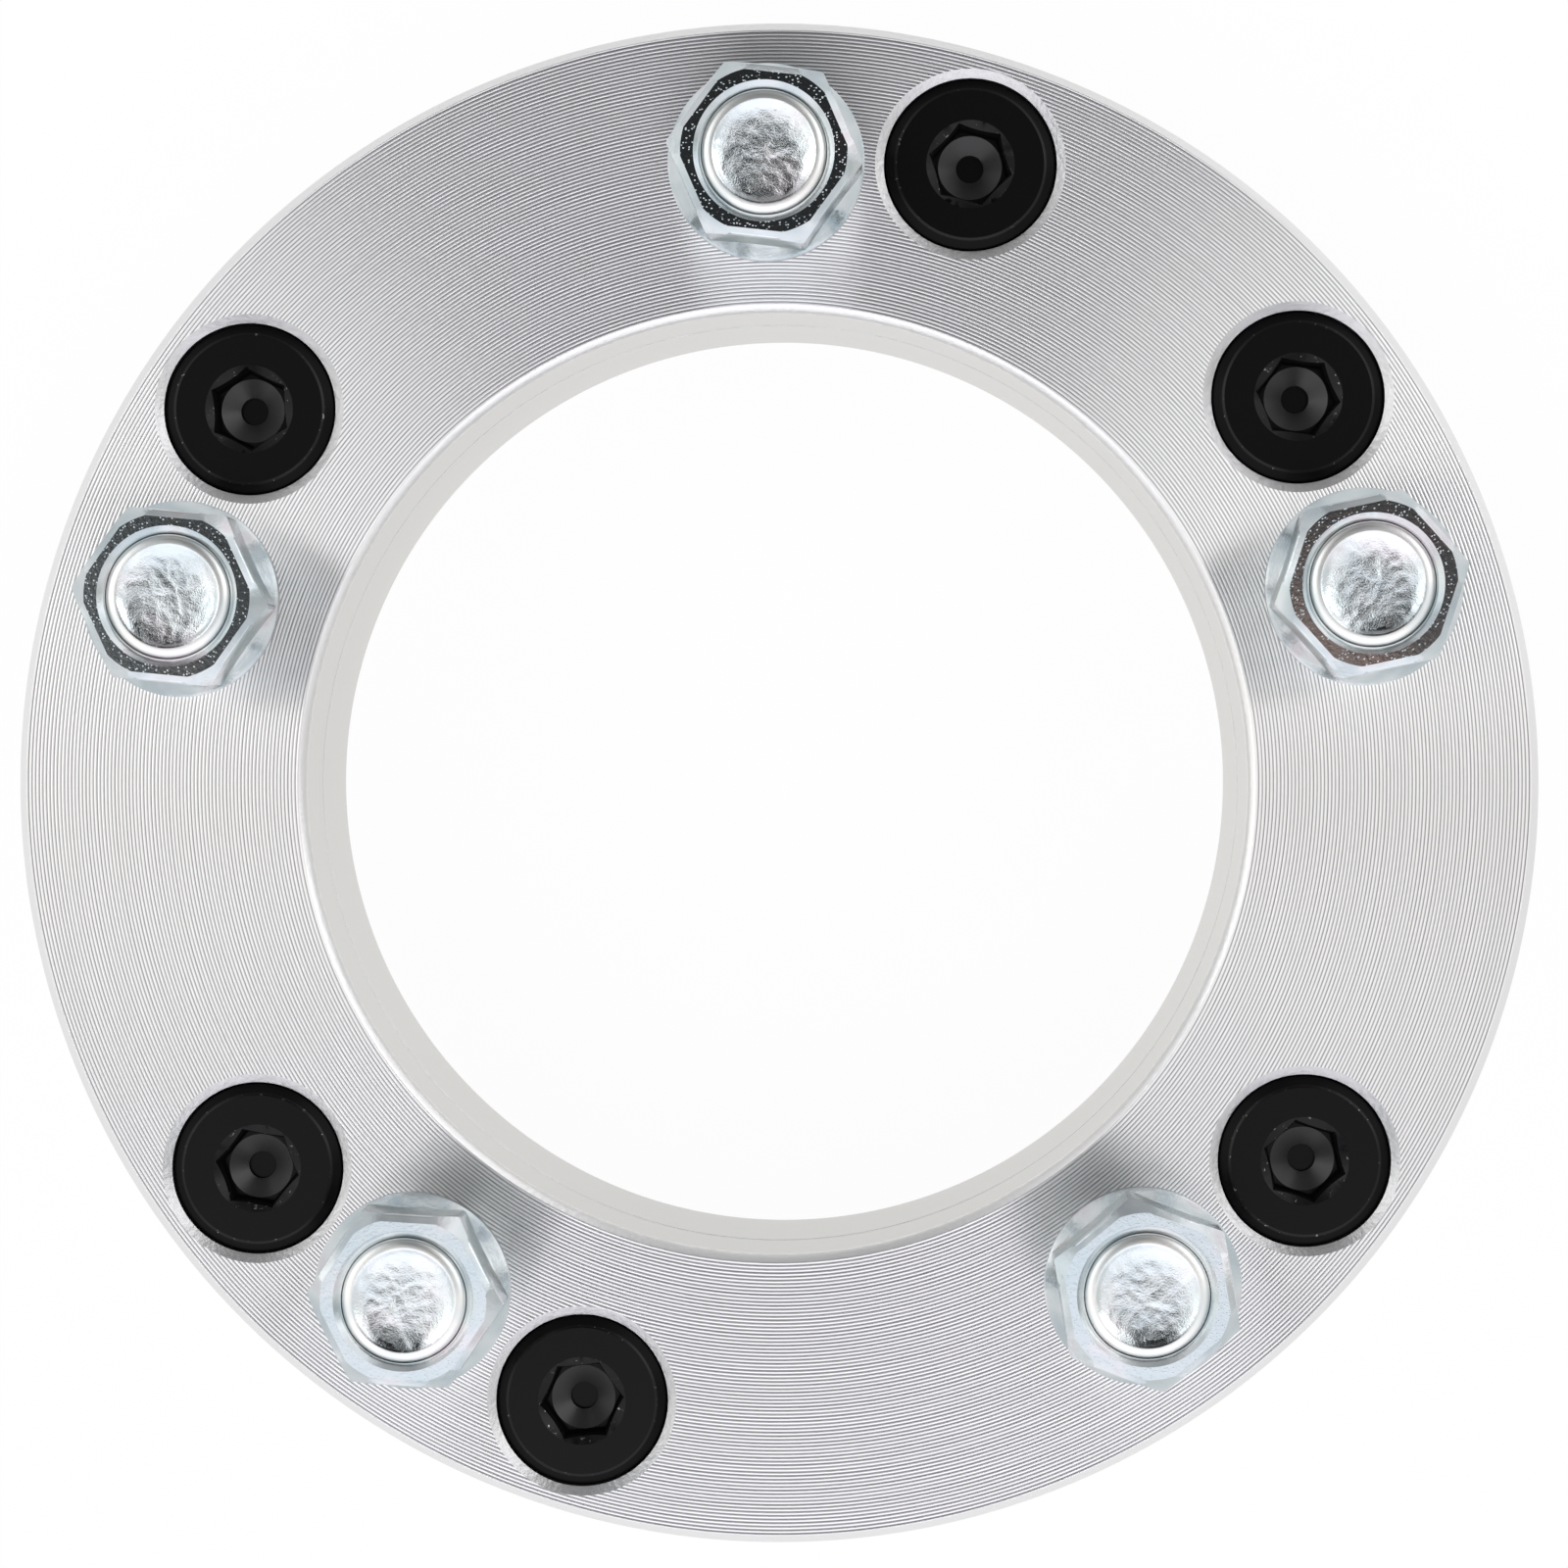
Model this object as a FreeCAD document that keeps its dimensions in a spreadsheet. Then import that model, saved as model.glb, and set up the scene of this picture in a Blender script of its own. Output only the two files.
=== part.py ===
import FreeCAD, Part
import Sketcher
import os

# Wheel spacer for a road wheel, modelled as it lies on its rear face.
# A turned aluminium ring carries five pressed-in wheel studs with lug nuts on them. Six closed,
# hex-socket barrel nuts sit sunk in stepped holes, where they clamp the ring to the studs of a hub.
# Frame: millimetres, origin at the centre of the rear (hub side) face, +Z towards the wheel.

# Driving dimensions in millimetres and degrees: alias, value.
DIMENSIONS = (
    # Ring
    ("ring_diameter", 176.0),
    ("ring_thickness", 35.0),
    ("ring_outer_break", 0.9),
    ("bore_diameter", 108.8),
    ("bore_front_break", 1.0),
    ("bore_rear_break", 0.5),
    # Wheel studs and the holes that they are pressed into
    ("stud_circle", 139.7),
    ("stud_first_angle", 90),
    ("stud_thread", 13.9),
    ("stud_length", 57.5),
    ("stud_head_diameter", 22.0),
    ("stud_head_height", 4.5),
    ("stud_head_break", 0.6),
    ("stud_head_sink", 0.5),
    ("stud_head_gap", 0.25),
    ("knurl_diameter", 15.4),
    ("knurl_depth", 0.4),
    ("knurl_length", 13.0),
    ("knurl_teeth", 24),
    ("knurl_gap", 0.02),
    ("stud_hole_break", 0.5),
    ("stud_tip_bevel", 1.2),
    ("stud_tip_drop", 0.7),
    ("stud_tip_lip", 0.2),
    ("stud_tip_cup", 0.9),
    # Lug nuts, threaded part of the way down the studs
    ("lug_flats", 19.0),
    ("lug_length", 16.0),
    ("lug_tip_sink", 0.3),
    ("lug_seat_small", 15.5),
    ("lug_seat_angle", 60),
    ("lug_flange", 22.1),
    ("lug_flange_band", 1.8),
    ("lug_shoulder", 1.9),
    ("lug_edge_break", 0.55),
    ("lug_edge_drop", 0.4),
    ("lug_corner_circle", 19.1),
    ("lug_corner_angle", 45),
    ("lug_mouth", 15.6),
    ("lug_thread_gap", 0.05),
    ("lug_rear_break", 0.5),
    # Closed hub nuts and the stepped holes that they sit in
    ("hub_circle", 150.0),
    ("hub_nut_diameter", 19.6),
    ("hub_nut_gap", 0.2),
    ("hub_mouth_break", 1.0),
    ("hub_mouth_angle", 120),
    ("hub_seat_angle", 60),
    ("hub_seat_height", 7.0),
    ("hub_seat_gap", 0.03),
    ("hub_stud_hole", 15.0),
    ("hub_thread_minor", 12.38),
    ("hub_thread_depth", 14.0),
    ("hub_thread_break", 0.8),
    ("hub_drill_angle", 118),
    ("hub_bevel_circle", 17.3),
    ("hub_bevel_depth", 0.8),
    ("socket_flats", 8.0),
    ("socket_lead", 0.3),
    ("socket_lead_depth", 0.9),
    ("socket_sink", 10.2),
    ("socket_sink_angle", 120),
    ("socket_depth", 3.2),
    ("socket_foot", 0.3),
    ("socket_foot_height", 0.5),
    ("socket_floor_angle", 120),
    ("socket_dimple", 3.2),
    ("socket_dimple_depth", 0.6),
)

# Angles around the ring of the six hub nuts, anticlockwise from +X, and how far each hexagon is
# turned from having a corner at +X.
HUB_NUT_ANGLES = (36, 72, 144, 216, 252, 324)
HUB_SOCKET_TURNS = (52, 45, 33, 50, 5, 42)
# The same turns for the lug nuts, in stud order: from the top stud anticlockwise.
LUG_NUT_TURNS = (-7, -6, -4, 39, 11.5)

# Least change of volume, in cubic millimetres, that shows that a feature did something.
LEAST_CHANGE = 0.01

# Directions of the axes.
X_AXIS = FreeCAD.Vector(1, 0, 0)
Y_AXIS = FreeCAD.Vector(0, 1, 0)
Z_AXIS = FreeCAD.Vector(0, 0, 1)


doc = FreeCAD.newDocument("wheel_spacer")


# The sheet of driving dimensions

def add_sheet():
    """Fill the sheet whose aliases every sketch, feature and placement reads."""
    sheet = doc.addObject("Spreadsheet::Sheet", "dims")
    rows = list(DIMENSIONS)
    rows.append(("stud_count", len(LUG_NUT_TURNS)))
    for number, angle in enumerate(HUB_NUT_ANGLES, start=1):
        rows.append((f"hub_nut_angle_{number}", angle))
    for number, turn in enumerate(HUB_SOCKET_TURNS, start=1):
        rows.append((f"hub_socket_turn_{number}", turn))
    for number, turn in enumerate(LUG_NUT_TURNS, start=1):
        rows.append((f"lug_nut_turn_{number}", turn))
    for row, (alias, value) in enumerate(rows, start=1):
        sheet.set(f"A{row}", alias)
        sheet.set(f"B{row}", str(value))
        sheet.setAlias(f"B{row}", alias)
    doc.recompute()


# Helpers for bodies, sketches and features

def origin_part(body, role):
    """Return the origin plane or axis of a body by its role."""
    return next(part for part in body.Origin.OriginFeatures if part.Role == role)


def add_body(name):
    """Add a body whose label names its piece."""
    body = doc.addObject("PartDesign::Body", name)
    body.Label = name
    return body


def add_sketch(body, name, plane="XZ_Plane", height=None, turn=None):
    """Add a sketch on an origin plane, raised along Z or turned about Z by an expression."""
    sketch = body.newObject("Sketcher::SketchObject", name)
    sketch.AttachmentSupport = (origin_part(body, plane), [""])
    sketch.MapMode = "FlatFace"
    if height is not None:
        sketch.setExpression("AttachmentOffset.Base.z", height)
    if turn is not None:
        sketch.AttachmentOffset.Rotation = FreeCAD.Rotation(Y_AXIS, 1)
        sketch.setExpression("AttachmentOffset.Rotation.Angle", turn)
    return sketch


def bind(sketch, kind, geometry, vertex, expression):
    """Hold one coordinate of a vertex at an expression, measured from the sketch origin."""
    if expression == "0":
        axis = -2 if kind == "DistanceX" else -1
        sketch.addConstraint(Sketcher.Constraint("PointOnObject", geometry, vertex, axis))
        return
    index = sketch.addConstraint(Sketcher.Constraint(kind, -1, 1, geometry, vertex, 1.0))
    sketch.setExpression(f"Constraints[{index}]", expression)


def draw_polygon(sketch, points):
    """Draw a closed polygon whose corners are pairs of expressions, from a regular one."""
    count = len(points)
    corners = []
    for index in range(count):
        turn = FreeCAD.Rotation(Z_AXIS, 360.0 * index / count)
        corners.append(turn.multVec(X_AXIS))
    for index in range(count):
        following = (index + 1) % count
        sketch.addGeometry(Part.LineSegment(corners[index], corners[following]), False)
    for index in range(count):
        following = (index + 1) % count
        sketch.addConstraint(Sketcher.Constraint("Coincident", index, 2, following, 1))
    for index, (across, up) in enumerate(points):
        bind(sketch, "DistanceX", index, 1, across)
        bind(sketch, "DistanceY", index, 1, up)


def draw_axis(sketch, across, top):
    """Add a construction line parallel to Z to turn a profile about."""
    line = Part.LineSegment(X_AXIS, X_AXIS + Y_AXIS)
    index = sketch.addGeometry(line, True)
    sketch.addConstraint(Sketcher.Constraint("Vertical", index))
    bind(sketch, "DistanceX", index, 1, across)
    bind(sketch, "DistanceY", index, 1, "0")
    bind(sketch, "DistanceY", index, 2, top)


def hexagon(circumradius):
    """Return the corners of a hexagon, the first one at +X."""
    corners = []
    for corner in range(6):
        across = f"{circumradius} * cos({60 * corner})"
        up = f"{circumradius} * sin({60 * corner})" if corner % 3 else "0"
        corners.append((across, up))
    return corners


def turned(body, kind, name, sketch, axis="V_Axis"):
    """Turn a sketch about one of its axes, to add (Revolution) or to cut (Groove)."""
    feature = body.newObject(f"PartDesign::{kind}", name)
    feature.Profile = sketch
    feature.ReferenceAxis = (sketch, [axis])
    feature.Angle = 360.0
    return finished(body, feature)


def finished(body, feature):
    """Recompute a feature and make sure that it changed the body."""
    before = 0.0 if feature.BaseFeature is None else feature.BaseFeature.Shape.Volume
    doc.recompute()
    if abs(feature.Shape.Volume - before) < LEAST_CHANGE:
        raise RuntimeError(f"{body.Label}: {feature.Label} changes nothing")
    return feature


def polar_pattern(body, name, originals, count):
    """Repeat features evenly around the body's own Z axis."""
    pattern = body.newObject("PartDesign::PolarPattern", name)
    pattern.Originals = originals
    pattern.Axis = (origin_part(body, "Z_Axis"), [""])
    pattern.Angle = 360.0
    pattern.setExpression("Occurrences", count)
    body.Tip = pattern
    return finished(body, pattern)


def set_place(body, circle, angle, height, turn):
    """Stand a body on a pitch circle, at a height, turned about its own axis."""
    body.Placement.Rotation = FreeCAD.Rotation(Z_AXIS, 1)
    body.setExpression("Placement.Base.x", f"{circle} / 2 * cos({angle})")
    body.setExpression("Placement.Base.y", f"{circle} / 2 * sin({angle})")
    body.setExpression("Placement.Base.z", height)
    body.setExpression("Placement.Rotation.Angle", turn)


# Shapes that two pieces share, as expressions

RING_TOP = "dims.ring_thickness"
STUD_ANGLE = "dims.stud_first_angle + {step} * 360 / dims.stud_count"
HUB_HOLE_RADIUS = "(dims.hub_nut_diameter / 2 + dims.hub_nut_gap)"
HUB_SEAT_RISE = f"({HUB_HOLE_RADIUS} - dims.hub_stud_hole / 2) / tan(dims.hub_seat_angle / 2)"


# The turned ring

def add_stud_hole(body):
    """Cut the hole that a stud is pressed into, with the recess for its head at the rear."""
    sketch = add_sketch(body, "stud_hole_profile", turn="dims.stud_first_angle")
    centre = "dims.stud_circle / 2"
    hole = f"{centre} + dims.knurl_diameter / 2 + dims.knurl_gap"
    recess = f"{centre} + dims.stud_head_diameter / 2 + dims.stud_head_gap"
    recess_top = "dims.stud_head_sink + dims.stud_head_height"
    draw_polygon(sketch, (
        (centre, "0"),
        (recess, "0"),
        (recess, recess_top),
        (hole, recess_top),
        (hole, f"{RING_TOP} - dims.stud_hole_break"),
        (f"{hole} + dims.stud_hole_break", RING_TOP),
        (centre, RING_TOP),
    ))
    draw_axis(sketch, centre, RING_TOP)
    return turned(body, "Groove", "stud_hole", sketch, "Axis0")


def add_hub_hole(body, number):
    """Cut the stepped hole of one hub nut: mouth, barrel bore, cone seat and stud hole."""
    sketch = add_sketch(body, f"hub_hole_profile_{number}", turn=f"dims.hub_nut_angle_{number}")
    centre = "dims.hub_circle / 2"
    stud = f"{centre} + dims.hub_stud_hole / 2"
    barrel = f"{centre} + {HUB_HOLE_RADIUS}"
    draw_polygon(sketch, (
        (centre, "0"),
        (stud, "0"),
        (stud, "dims.hub_seat_height"),
        (barrel, f"dims.hub_seat_height + {HUB_SEAT_RISE}"),
        (barrel, f"{RING_TOP} - dims.hub_mouth_break / tan(dims.hub_mouth_angle / 2)"),
        (f"{barrel} + dims.hub_mouth_break", RING_TOP),
        (centre, RING_TOP),
    ))
    draw_axis(sketch, centre, RING_TOP)
    return turned(body, "Groove", f"hub_hole_{number}", sketch, "Axis0")


def add_ring():
    """Turn the ring with its broken edges, then cut the stud holes and the hub nut holes."""
    body = add_body("spacer_ring")
    sketch = add_sketch(body, "ring_profile")
    outer = "dims.ring_diameter / 2"
    bore = "dims.bore_diameter / 2"
    draw_polygon(sketch, (
        (f"{bore} + dims.bore_rear_break", "0"),
        (f"{outer} - dims.ring_outer_break", "0"),
        (outer, "dims.ring_outer_break"),
        (outer, f"{RING_TOP} - dims.ring_outer_break"),
        (f"{outer} - dims.ring_outer_break", RING_TOP),
        (f"{bore} + dims.bore_front_break", RING_TOP),
        (bore, f"{RING_TOP} - dims.bore_front_break"),
        (bore, "dims.bore_rear_break"),
    ))
    turned(body, "Revolution", "ring_blank", sketch)
    stud_hole = add_stud_hole(body)
    polar_pattern(body, "stud_holes", [stud_hole], "dims.stud_count")
    for number in range(1, len(HUB_NUT_ANGLES) + 1):
        add_hub_hole(body, number)
    return body


# A wheel stud: recessed head, knurled shank, thread, and the cupped tip of a rolled thread

def add_knurl(body):
    """Add one tooth of the knurl and repeat it around the shank."""
    sketch = add_sketch(body, "tooth_profile", "XY_Plane", "dims.stud_head_height")
    root = "(dims.knurl_diameter / 2 - dims.knurl_depth)"
    half_angle = "(180 / dims.knurl_teeth)"
    draw_polygon(sketch, (
        (f"{root} / 2", "0"),
        (f"{root} * cos({half_angle})", f"-{root} * sin({half_angle})"),
        ("dims.knurl_diameter / 2", "0"),
        (f"{root} * cos({half_angle})", f"{root} * sin({half_angle})"),
    ))
    tooth = body.newObject("PartDesign::Pad", "knurl_tooth")
    tooth.Profile = sketch
    tooth.setExpression("Length", "dims.knurl_length")
    finished(body, tooth)
    polar_pattern(body, "knurl", [tooth], "dims.knurl_teeth")


def add_tip_cup(body):
    """Hollow the tip with a shallow round cup."""
    rim = "(dims.stud_thread / 2 - dims.stud_tip_bevel - dims.stud_tip_lip)"
    radius = f"({rim} * {rim} / dims.stud_tip_cup + dims.stud_tip_cup) / 2"
    cup = body.newObject("PartDesign::SubtractiveSphere", "tip_cup")
    cup.setExpression("Radius", radius)
    cup.AttachmentSupport = (origin_part(body, "XY_Plane"), [""])
    cup.MapMode = "FlatFace"
    cup.setExpression("AttachmentOffset.Base.z", f"dims.stud_length - dims.stud_tip_cup + {radius}")
    return finished(body, cup)


def add_stud(number):
    """Turn a stud, knurl its shank, cup its tip and press it into the ring."""
    body = add_body(f"wheel_stud_{number}")
    sketch = add_sketch(body, "stud_profile")
    head = "dims.stud_head_diameter / 2"
    root = "dims.knurl_diameter / 2 - dims.knurl_depth"
    thread = "dims.stud_thread / 2"
    knurl_top = "dims.stud_head_height + dims.knurl_length"
    draw_polygon(sketch, (
        ("0", "0"),
        (f"{head} - dims.stud_head_break", "0"),
        (head, "dims.stud_head_break"),
        (head, "dims.stud_head_height"),
        (root, "dims.stud_head_height"),
        (root, knurl_top),
        (thread, f"{knurl_top} + dims.knurl_depth"),
        (thread, "dims.stud_length - dims.stud_tip_drop"),
        (f"{thread} - dims.stud_tip_bevel", "dims.stud_length"),
        ("0", "dims.stud_length"),
    ))
    turned(body, "Revolution", "stud_blank", sketch)
    add_knurl(body)
    add_tip_cup(body)
    angle = STUD_ANGLE.format(step=number - 1)
    set_place(body, "dims.stud_circle", angle, "dims.stud_head_sink", angle)
    return body


# A lug nut: cone seat and flange below, chamfered hexagon above, open at both ends

def add_lug_nut(number):
    """Turn the seat and flange, raise the hexagon, chamfer its corners and bore it."""
    body = add_body(f"lug_nut_{number}")
    flange = "dims.lug_flange / 2"
    seat_top = f"({flange} - dims.lug_seat_small / 2) / tan(dims.lug_seat_angle / 2)"
    band_top = f"{seat_top} + dims.lug_flange_band"
    shoulder_top = f"{band_top} + dims.lug_shoulder"
    base = add_sketch(body, "seat_profile")
    draw_polygon(base, (
        ("0", "0"),
        ("dims.lug_seat_small / 2", "0"),
        (flange, seat_top),
        (flange, band_top),
        ("dims.lug_flats / 2", shoulder_top),
        ("0", shoulder_top),
    ))
    turned(body, "Revolution", "seat_and_flange", base)

    outline = add_sketch(body, "hexagon_profile", "XY_Plane", band_top)
    draw_polygon(outline, hexagon("dims.lug_flats / sqrt(3)"))
    prism = body.newObject("PartDesign::Pad", "hexagon")
    prism.Profile = outline
    prism.setExpression("Length", f"dims.lug_length - dims.lug_edge_drop - ({band_top})")
    finished(body, prism)

    edge = add_sketch(body, "edge_bottom", "XY_Plane", "dims.lug_length - dims.lug_edge_drop")
    draw_polygon(edge, hexagon("dims.lug_flats / sqrt(3)"))
    end = add_sketch(body, "edge_top", "XY_Plane", "dims.lug_length")
    draw_polygon(end, hexagon("(dims.lug_flats - 2 * dims.lug_edge_break) / sqrt(3)"))
    cap = body.newObject("PartDesign::AdditiveLoft", "broken_edge")
    cap.Profile = edge
    cap.Sections = [end]
    finished(body, cap)

    corners = add_sketch(body, "corner_profile")
    inside = "dims.lug_corner_circle / 2"
    clear = "dims.lug_flats"
    drop = f"({clear} - {inside}) * tan(dims.lug_corner_angle)"
    draw_polygon(corners, (
        (inside, "dims.lug_length"),
        (clear, f"dims.lug_length - {drop}"),
        (clear, "dims.lug_length"),
    ))
    turned(body, "Groove", "corner_chamfer", corners)

    bore = add_sketch(body, "bore_profile")
    wall = "dims.stud_thread / 2 + dims.lug_thread_gap"
    mouth = "dims.lug_mouth / 2"
    break_height = f"{mouth} - ({wall})"
    draw_polygon(bore, (
        ("0", "0"),
        (f"{wall} + dims.lug_rear_break", "0"),
        (wall, "dims.lug_rear_break"),
        (wall, f"dims.lug_length - ({break_height})"),
        (mouth, "dims.lug_length"),
        ("0", "dims.lug_length"),
    ))
    turned(body, "Groove", "threaded_bore", bore)
    height = "dims.stud_head_sink + dims.stud_length + dims.lug_tip_sink - dims.lug_length"
    angle = STUD_ANGLE.format(step=number - 1)
    set_place(body, "dims.stud_circle", angle, height, f"dims.lug_nut_turn_{number}")
    return body


# A closed hub nut: cone seat below, flush bevelled top with a hexagonal socket

def add_hexagonal_taper(body, name, high, low):
    """Cut a hexagonal hole that narrows from a high (height, flats) pair to a low one."""
    levels = []
    for level, (height, flats) in (("top", high), ("bottom", low)):
        outline = add_sketch(body, f"{name}_{level}", "XY_Plane", height)
        draw_polygon(outline, hexagon(f"({flats}) / sqrt(3)"))
        levels.append(outline)
    taper = body.newObject("PartDesign::SubtractiveLoft", name)
    taper.Profile = levels[0]
    taper.Sections = [levels[1]]
    finished(body, taper)


def add_socket(body, length):
    """Cut the hexagonal socket, its lead-in and countersink, its cone floor and the dimple."""
    flats = "dims.socket_flats"
    foot_top = f"{length} - dims.socket_depth + dims.socket_foot_height"
    outline = add_sketch(body, "socket_profile", "XY_Plane", length)
    draw_polygon(outline, hexagon(f"{flats} / sqrt(3)"))
    pocket = body.newObject("PartDesign::Pocket", "socket")
    pocket.Profile = outline
    pocket.setExpression("Length", "dims.socket_depth - dims.socket_foot_height")
    finished(body, pocket)

    add_hexagonal_taper(
        body, "socket_lead_in",
        (length, f"{flats} + 2 * dims.socket_lead"),
        (f"{length} - dims.socket_lead_depth", flats),
    )
    add_hexagonal_taper(
        body, "socket_foot",
        (foot_top, flats),
        (f"{length} - dims.socket_depth", f"{flats} - 2 * dims.socket_foot"),
    )

    sink = add_sketch(body, "countersink_profile")
    rim = "dims.socket_flats / 2"
    edge = "dims.socket_sink / 2"
    sink_bottom = f"{length} - ({edge} - {rim}) / tan(dims.socket_sink_angle / 2)"
    draw_polygon(sink, (
        ("0", sink_bottom),
        (rim, sink_bottom),
        (edge, length),
        ("0", length),
    ))
    turned(body, "Groove", "socket_countersink", sink)

    floor = add_sketch(body, "floor_profile")
    floor_rim = "(dims.socket_flats / 2 - dims.socket_foot)"
    dimple = "dims.socket_dimple / 2"
    floor_top = f"{length} - dims.socket_depth"
    floor_bottom = f"{floor_top} - ({floor_rim} - {dimple}) / tan(dims.socket_floor_angle / 2)"
    draw_polygon(floor, (
        ("0", floor_top),
        (floor_rim, floor_top),
        (dimple, floor_bottom),
        (dimple, f"{floor_bottom} - dims.socket_dimple_depth"),
        ("0", f"{floor_bottom} - dims.socket_dimple_depth"),
    ))
    turned(body, "Groove", "socket_floor", floor)


def add_hub_nut(number):
    """Turn the barrel with its seat and bevel, bore it blind from the rear and cut the socket."""
    body = add_body(f"hub_nut_{number}")
    barrel = "dims.hub_nut_diameter / 2"
    seat_small = "(dims.hub_stud_hole / 2 - dims.hub_seat_gap)"
    seat_top = f"({barrel} - {seat_small}) / tan(dims.hub_seat_angle / 2)"
    length = "(dims.ring_thickness - dims.hub_seat_height)"
    outside = add_sketch(body, "barrel_profile")
    draw_polygon(outside, (
        ("0", "0"),
        (seat_small, "0"),
        (barrel, seat_top),
        (barrel, f"{length} - dims.hub_bevel_depth"),
        ("dims.hub_bevel_circle / 2", length),
        ("0", length),
    ))
    turned(body, "Revolution", "barrel", outside)

    bore = add_sketch(body, "thread_profile")
    thread = "dims.hub_thread_minor / 2"
    point = f"dims.hub_thread_depth + {thread} / tan(dims.hub_drill_angle / 2)"
    draw_polygon(bore, (
        ("0", "0"),
        (f"{thread} + dims.hub_thread_break", "0"),
        (thread, "dims.hub_thread_break"),
        (thread, "dims.hub_thread_depth"),
        ("0", point),
    ))
    turned(body, "Groove", "blind_thread", bore)
    add_socket(body, length)
    angle = f"dims.hub_nut_angle_{number}"
    set_place(body, "dims.hub_circle", angle, "dims.hub_seat_height", f"dims.hub_socket_turn_{number}")
    return body


# The whole spacer, checked and written out piece by piece

def add_pieces():
    """Return the bodies of all the pieces, the ring first."""
    stud_numbers = range(1, len(LUG_NUT_TURNS) + 1)
    hub_numbers = range(1, len(HUB_NUT_ANGLES) + 1)
    pieces = [add_ring()]
    pieces += [add_stud(number) for number in stud_numbers]
    pieces += [add_lug_nut(number) for number in stud_numbers]
    pieces += [add_hub_nut(number) for number in hub_numbers]
    doc.recompute()
    return pieces


def check(pieces):
    """Stop if an object failed or a piece has no sound solid."""
    for thing in doc.Objects:
        if "Invalid" in thing.State or "Error" in thing.State:
            raise RuntimeError(f"{thing.Label} failed")
    for piece in pieces:
        shape = piece.Shape
        if shape.isNull() or not shape.isValid() or len(shape.Solids) != 1:
            raise RuntimeError(f"{piece.Label} is not one sound solid")


add_sheet()
PIECES = add_pieces()
check(PIECES)
os.makedirs("parts", exist_ok=True)
for piece in PIECES:
    piece.Shape.exportStep(f"parts/{piece.Label}.step")
    print(f"{piece.Label}: {piece.Shape.Volume / 1000:.2f} cm3")
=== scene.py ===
import math

import bpy
from mathutils import Matrix, Vector


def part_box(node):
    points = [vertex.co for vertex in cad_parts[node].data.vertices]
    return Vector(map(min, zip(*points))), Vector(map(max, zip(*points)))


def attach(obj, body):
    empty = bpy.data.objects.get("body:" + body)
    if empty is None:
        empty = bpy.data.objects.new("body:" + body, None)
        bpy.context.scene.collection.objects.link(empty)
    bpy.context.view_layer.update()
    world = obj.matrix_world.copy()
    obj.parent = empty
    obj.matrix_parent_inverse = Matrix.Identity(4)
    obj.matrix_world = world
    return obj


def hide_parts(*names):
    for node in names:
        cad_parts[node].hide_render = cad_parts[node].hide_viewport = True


bl_info = {
    "name": "Wheel spacer",
    "version": (1, 0, 0),
    "blender": (4, 5, 0),
    "location": "View3D > Sidebar > Spacer",
    "description": "Models a turned aluminium wheel spacer with its studs, lug nuts and hub nuts",
    "category": "Add Mesh",
}

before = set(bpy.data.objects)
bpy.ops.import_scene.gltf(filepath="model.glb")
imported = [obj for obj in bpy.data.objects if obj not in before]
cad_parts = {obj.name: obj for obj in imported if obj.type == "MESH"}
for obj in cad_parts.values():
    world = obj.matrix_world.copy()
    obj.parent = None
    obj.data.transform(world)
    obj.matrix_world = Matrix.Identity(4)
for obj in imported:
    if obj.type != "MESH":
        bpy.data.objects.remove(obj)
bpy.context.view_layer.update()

MM = 0.001
FULL_TURN = 2 * math.pi
SEAT_SLOPE = math.tan(math.radians(30))  # radius over height on a 60 degree cone seat
FLOOR_SLOPE = math.tan(math.radians(60))  # the same on a socket's 120 degree floor and countersink
DRILL_SLOPE = math.tan(math.radians(59))  # the same on a 118 degree drill point
PAST = MM  # how far a cutter runs past the metal that it cuts
SAME_PLACE = 0.002 * MM  # corners that are closer than this are merged
LEVEL = 0.999  # least upward share of a normal at which a face counts as level

RING = "spacer_ring"
STUDS = sorted(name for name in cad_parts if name.startswith("wheel_stud_"))
LUG_NUTS = sorted(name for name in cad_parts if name.startswith("lug_nut_"))
HUB_NUTS = sorted(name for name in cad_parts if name.startswith("hub_nut_"))


# Places taken from the frame

def height_span(node):
    """Return the lowest and highest Z of a node."""
    low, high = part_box(node)
    return low.z, high.z


def width(node):
    """Return the size of a node along X."""
    low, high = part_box(node)
    return high.x - low.x


def axis_of(node):
    """Return the point on the ground under a node's own axis."""
    low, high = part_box(node)
    middle = (low + high) / 2
    return Vector((middle.x, middle.y, 0.0))


# Colours

def from_hex(code):
    """Turn an sRGB hex colour into a linear one with full alpha."""
    parts = [int(code[place:place + 2], 16) / 255 for place in (0, 2, 4)]
    linear = [part / 12.92 if part <= 0.04045 else ((part + 0.055) / 1.055) ** 2.4 for part in parts]
    return (*linear, 1.0)


def colour_property(name, description, code):
    return bpy.props.FloatVectorProperty(
        name=name, description=description, default=from_hex(code),
        subtype="COLOR", size=4, min=0.0, max=1.0,
    )


def length_property(name, description, millimetres):
    return bpy.props.FloatProperty(
        name=name, description=description, default=millimetres * MM, unit="LENGTH", precision=5,
    )


def place_property(name, description, place):
    return bpy.props.FloatVectorProperty(
        name=name, description=description, default=place, size=3, unit="LENGTH", precision=5,
    )


def angles_property(name, description, degrees):
    return bpy.props.FloatVectorProperty(
        name=name, description=description, default=[math.radians(angle) for angle in degrees],
        size=len(degrees), unit="ROTATION",
    )


# Sizes that a user would change

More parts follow.
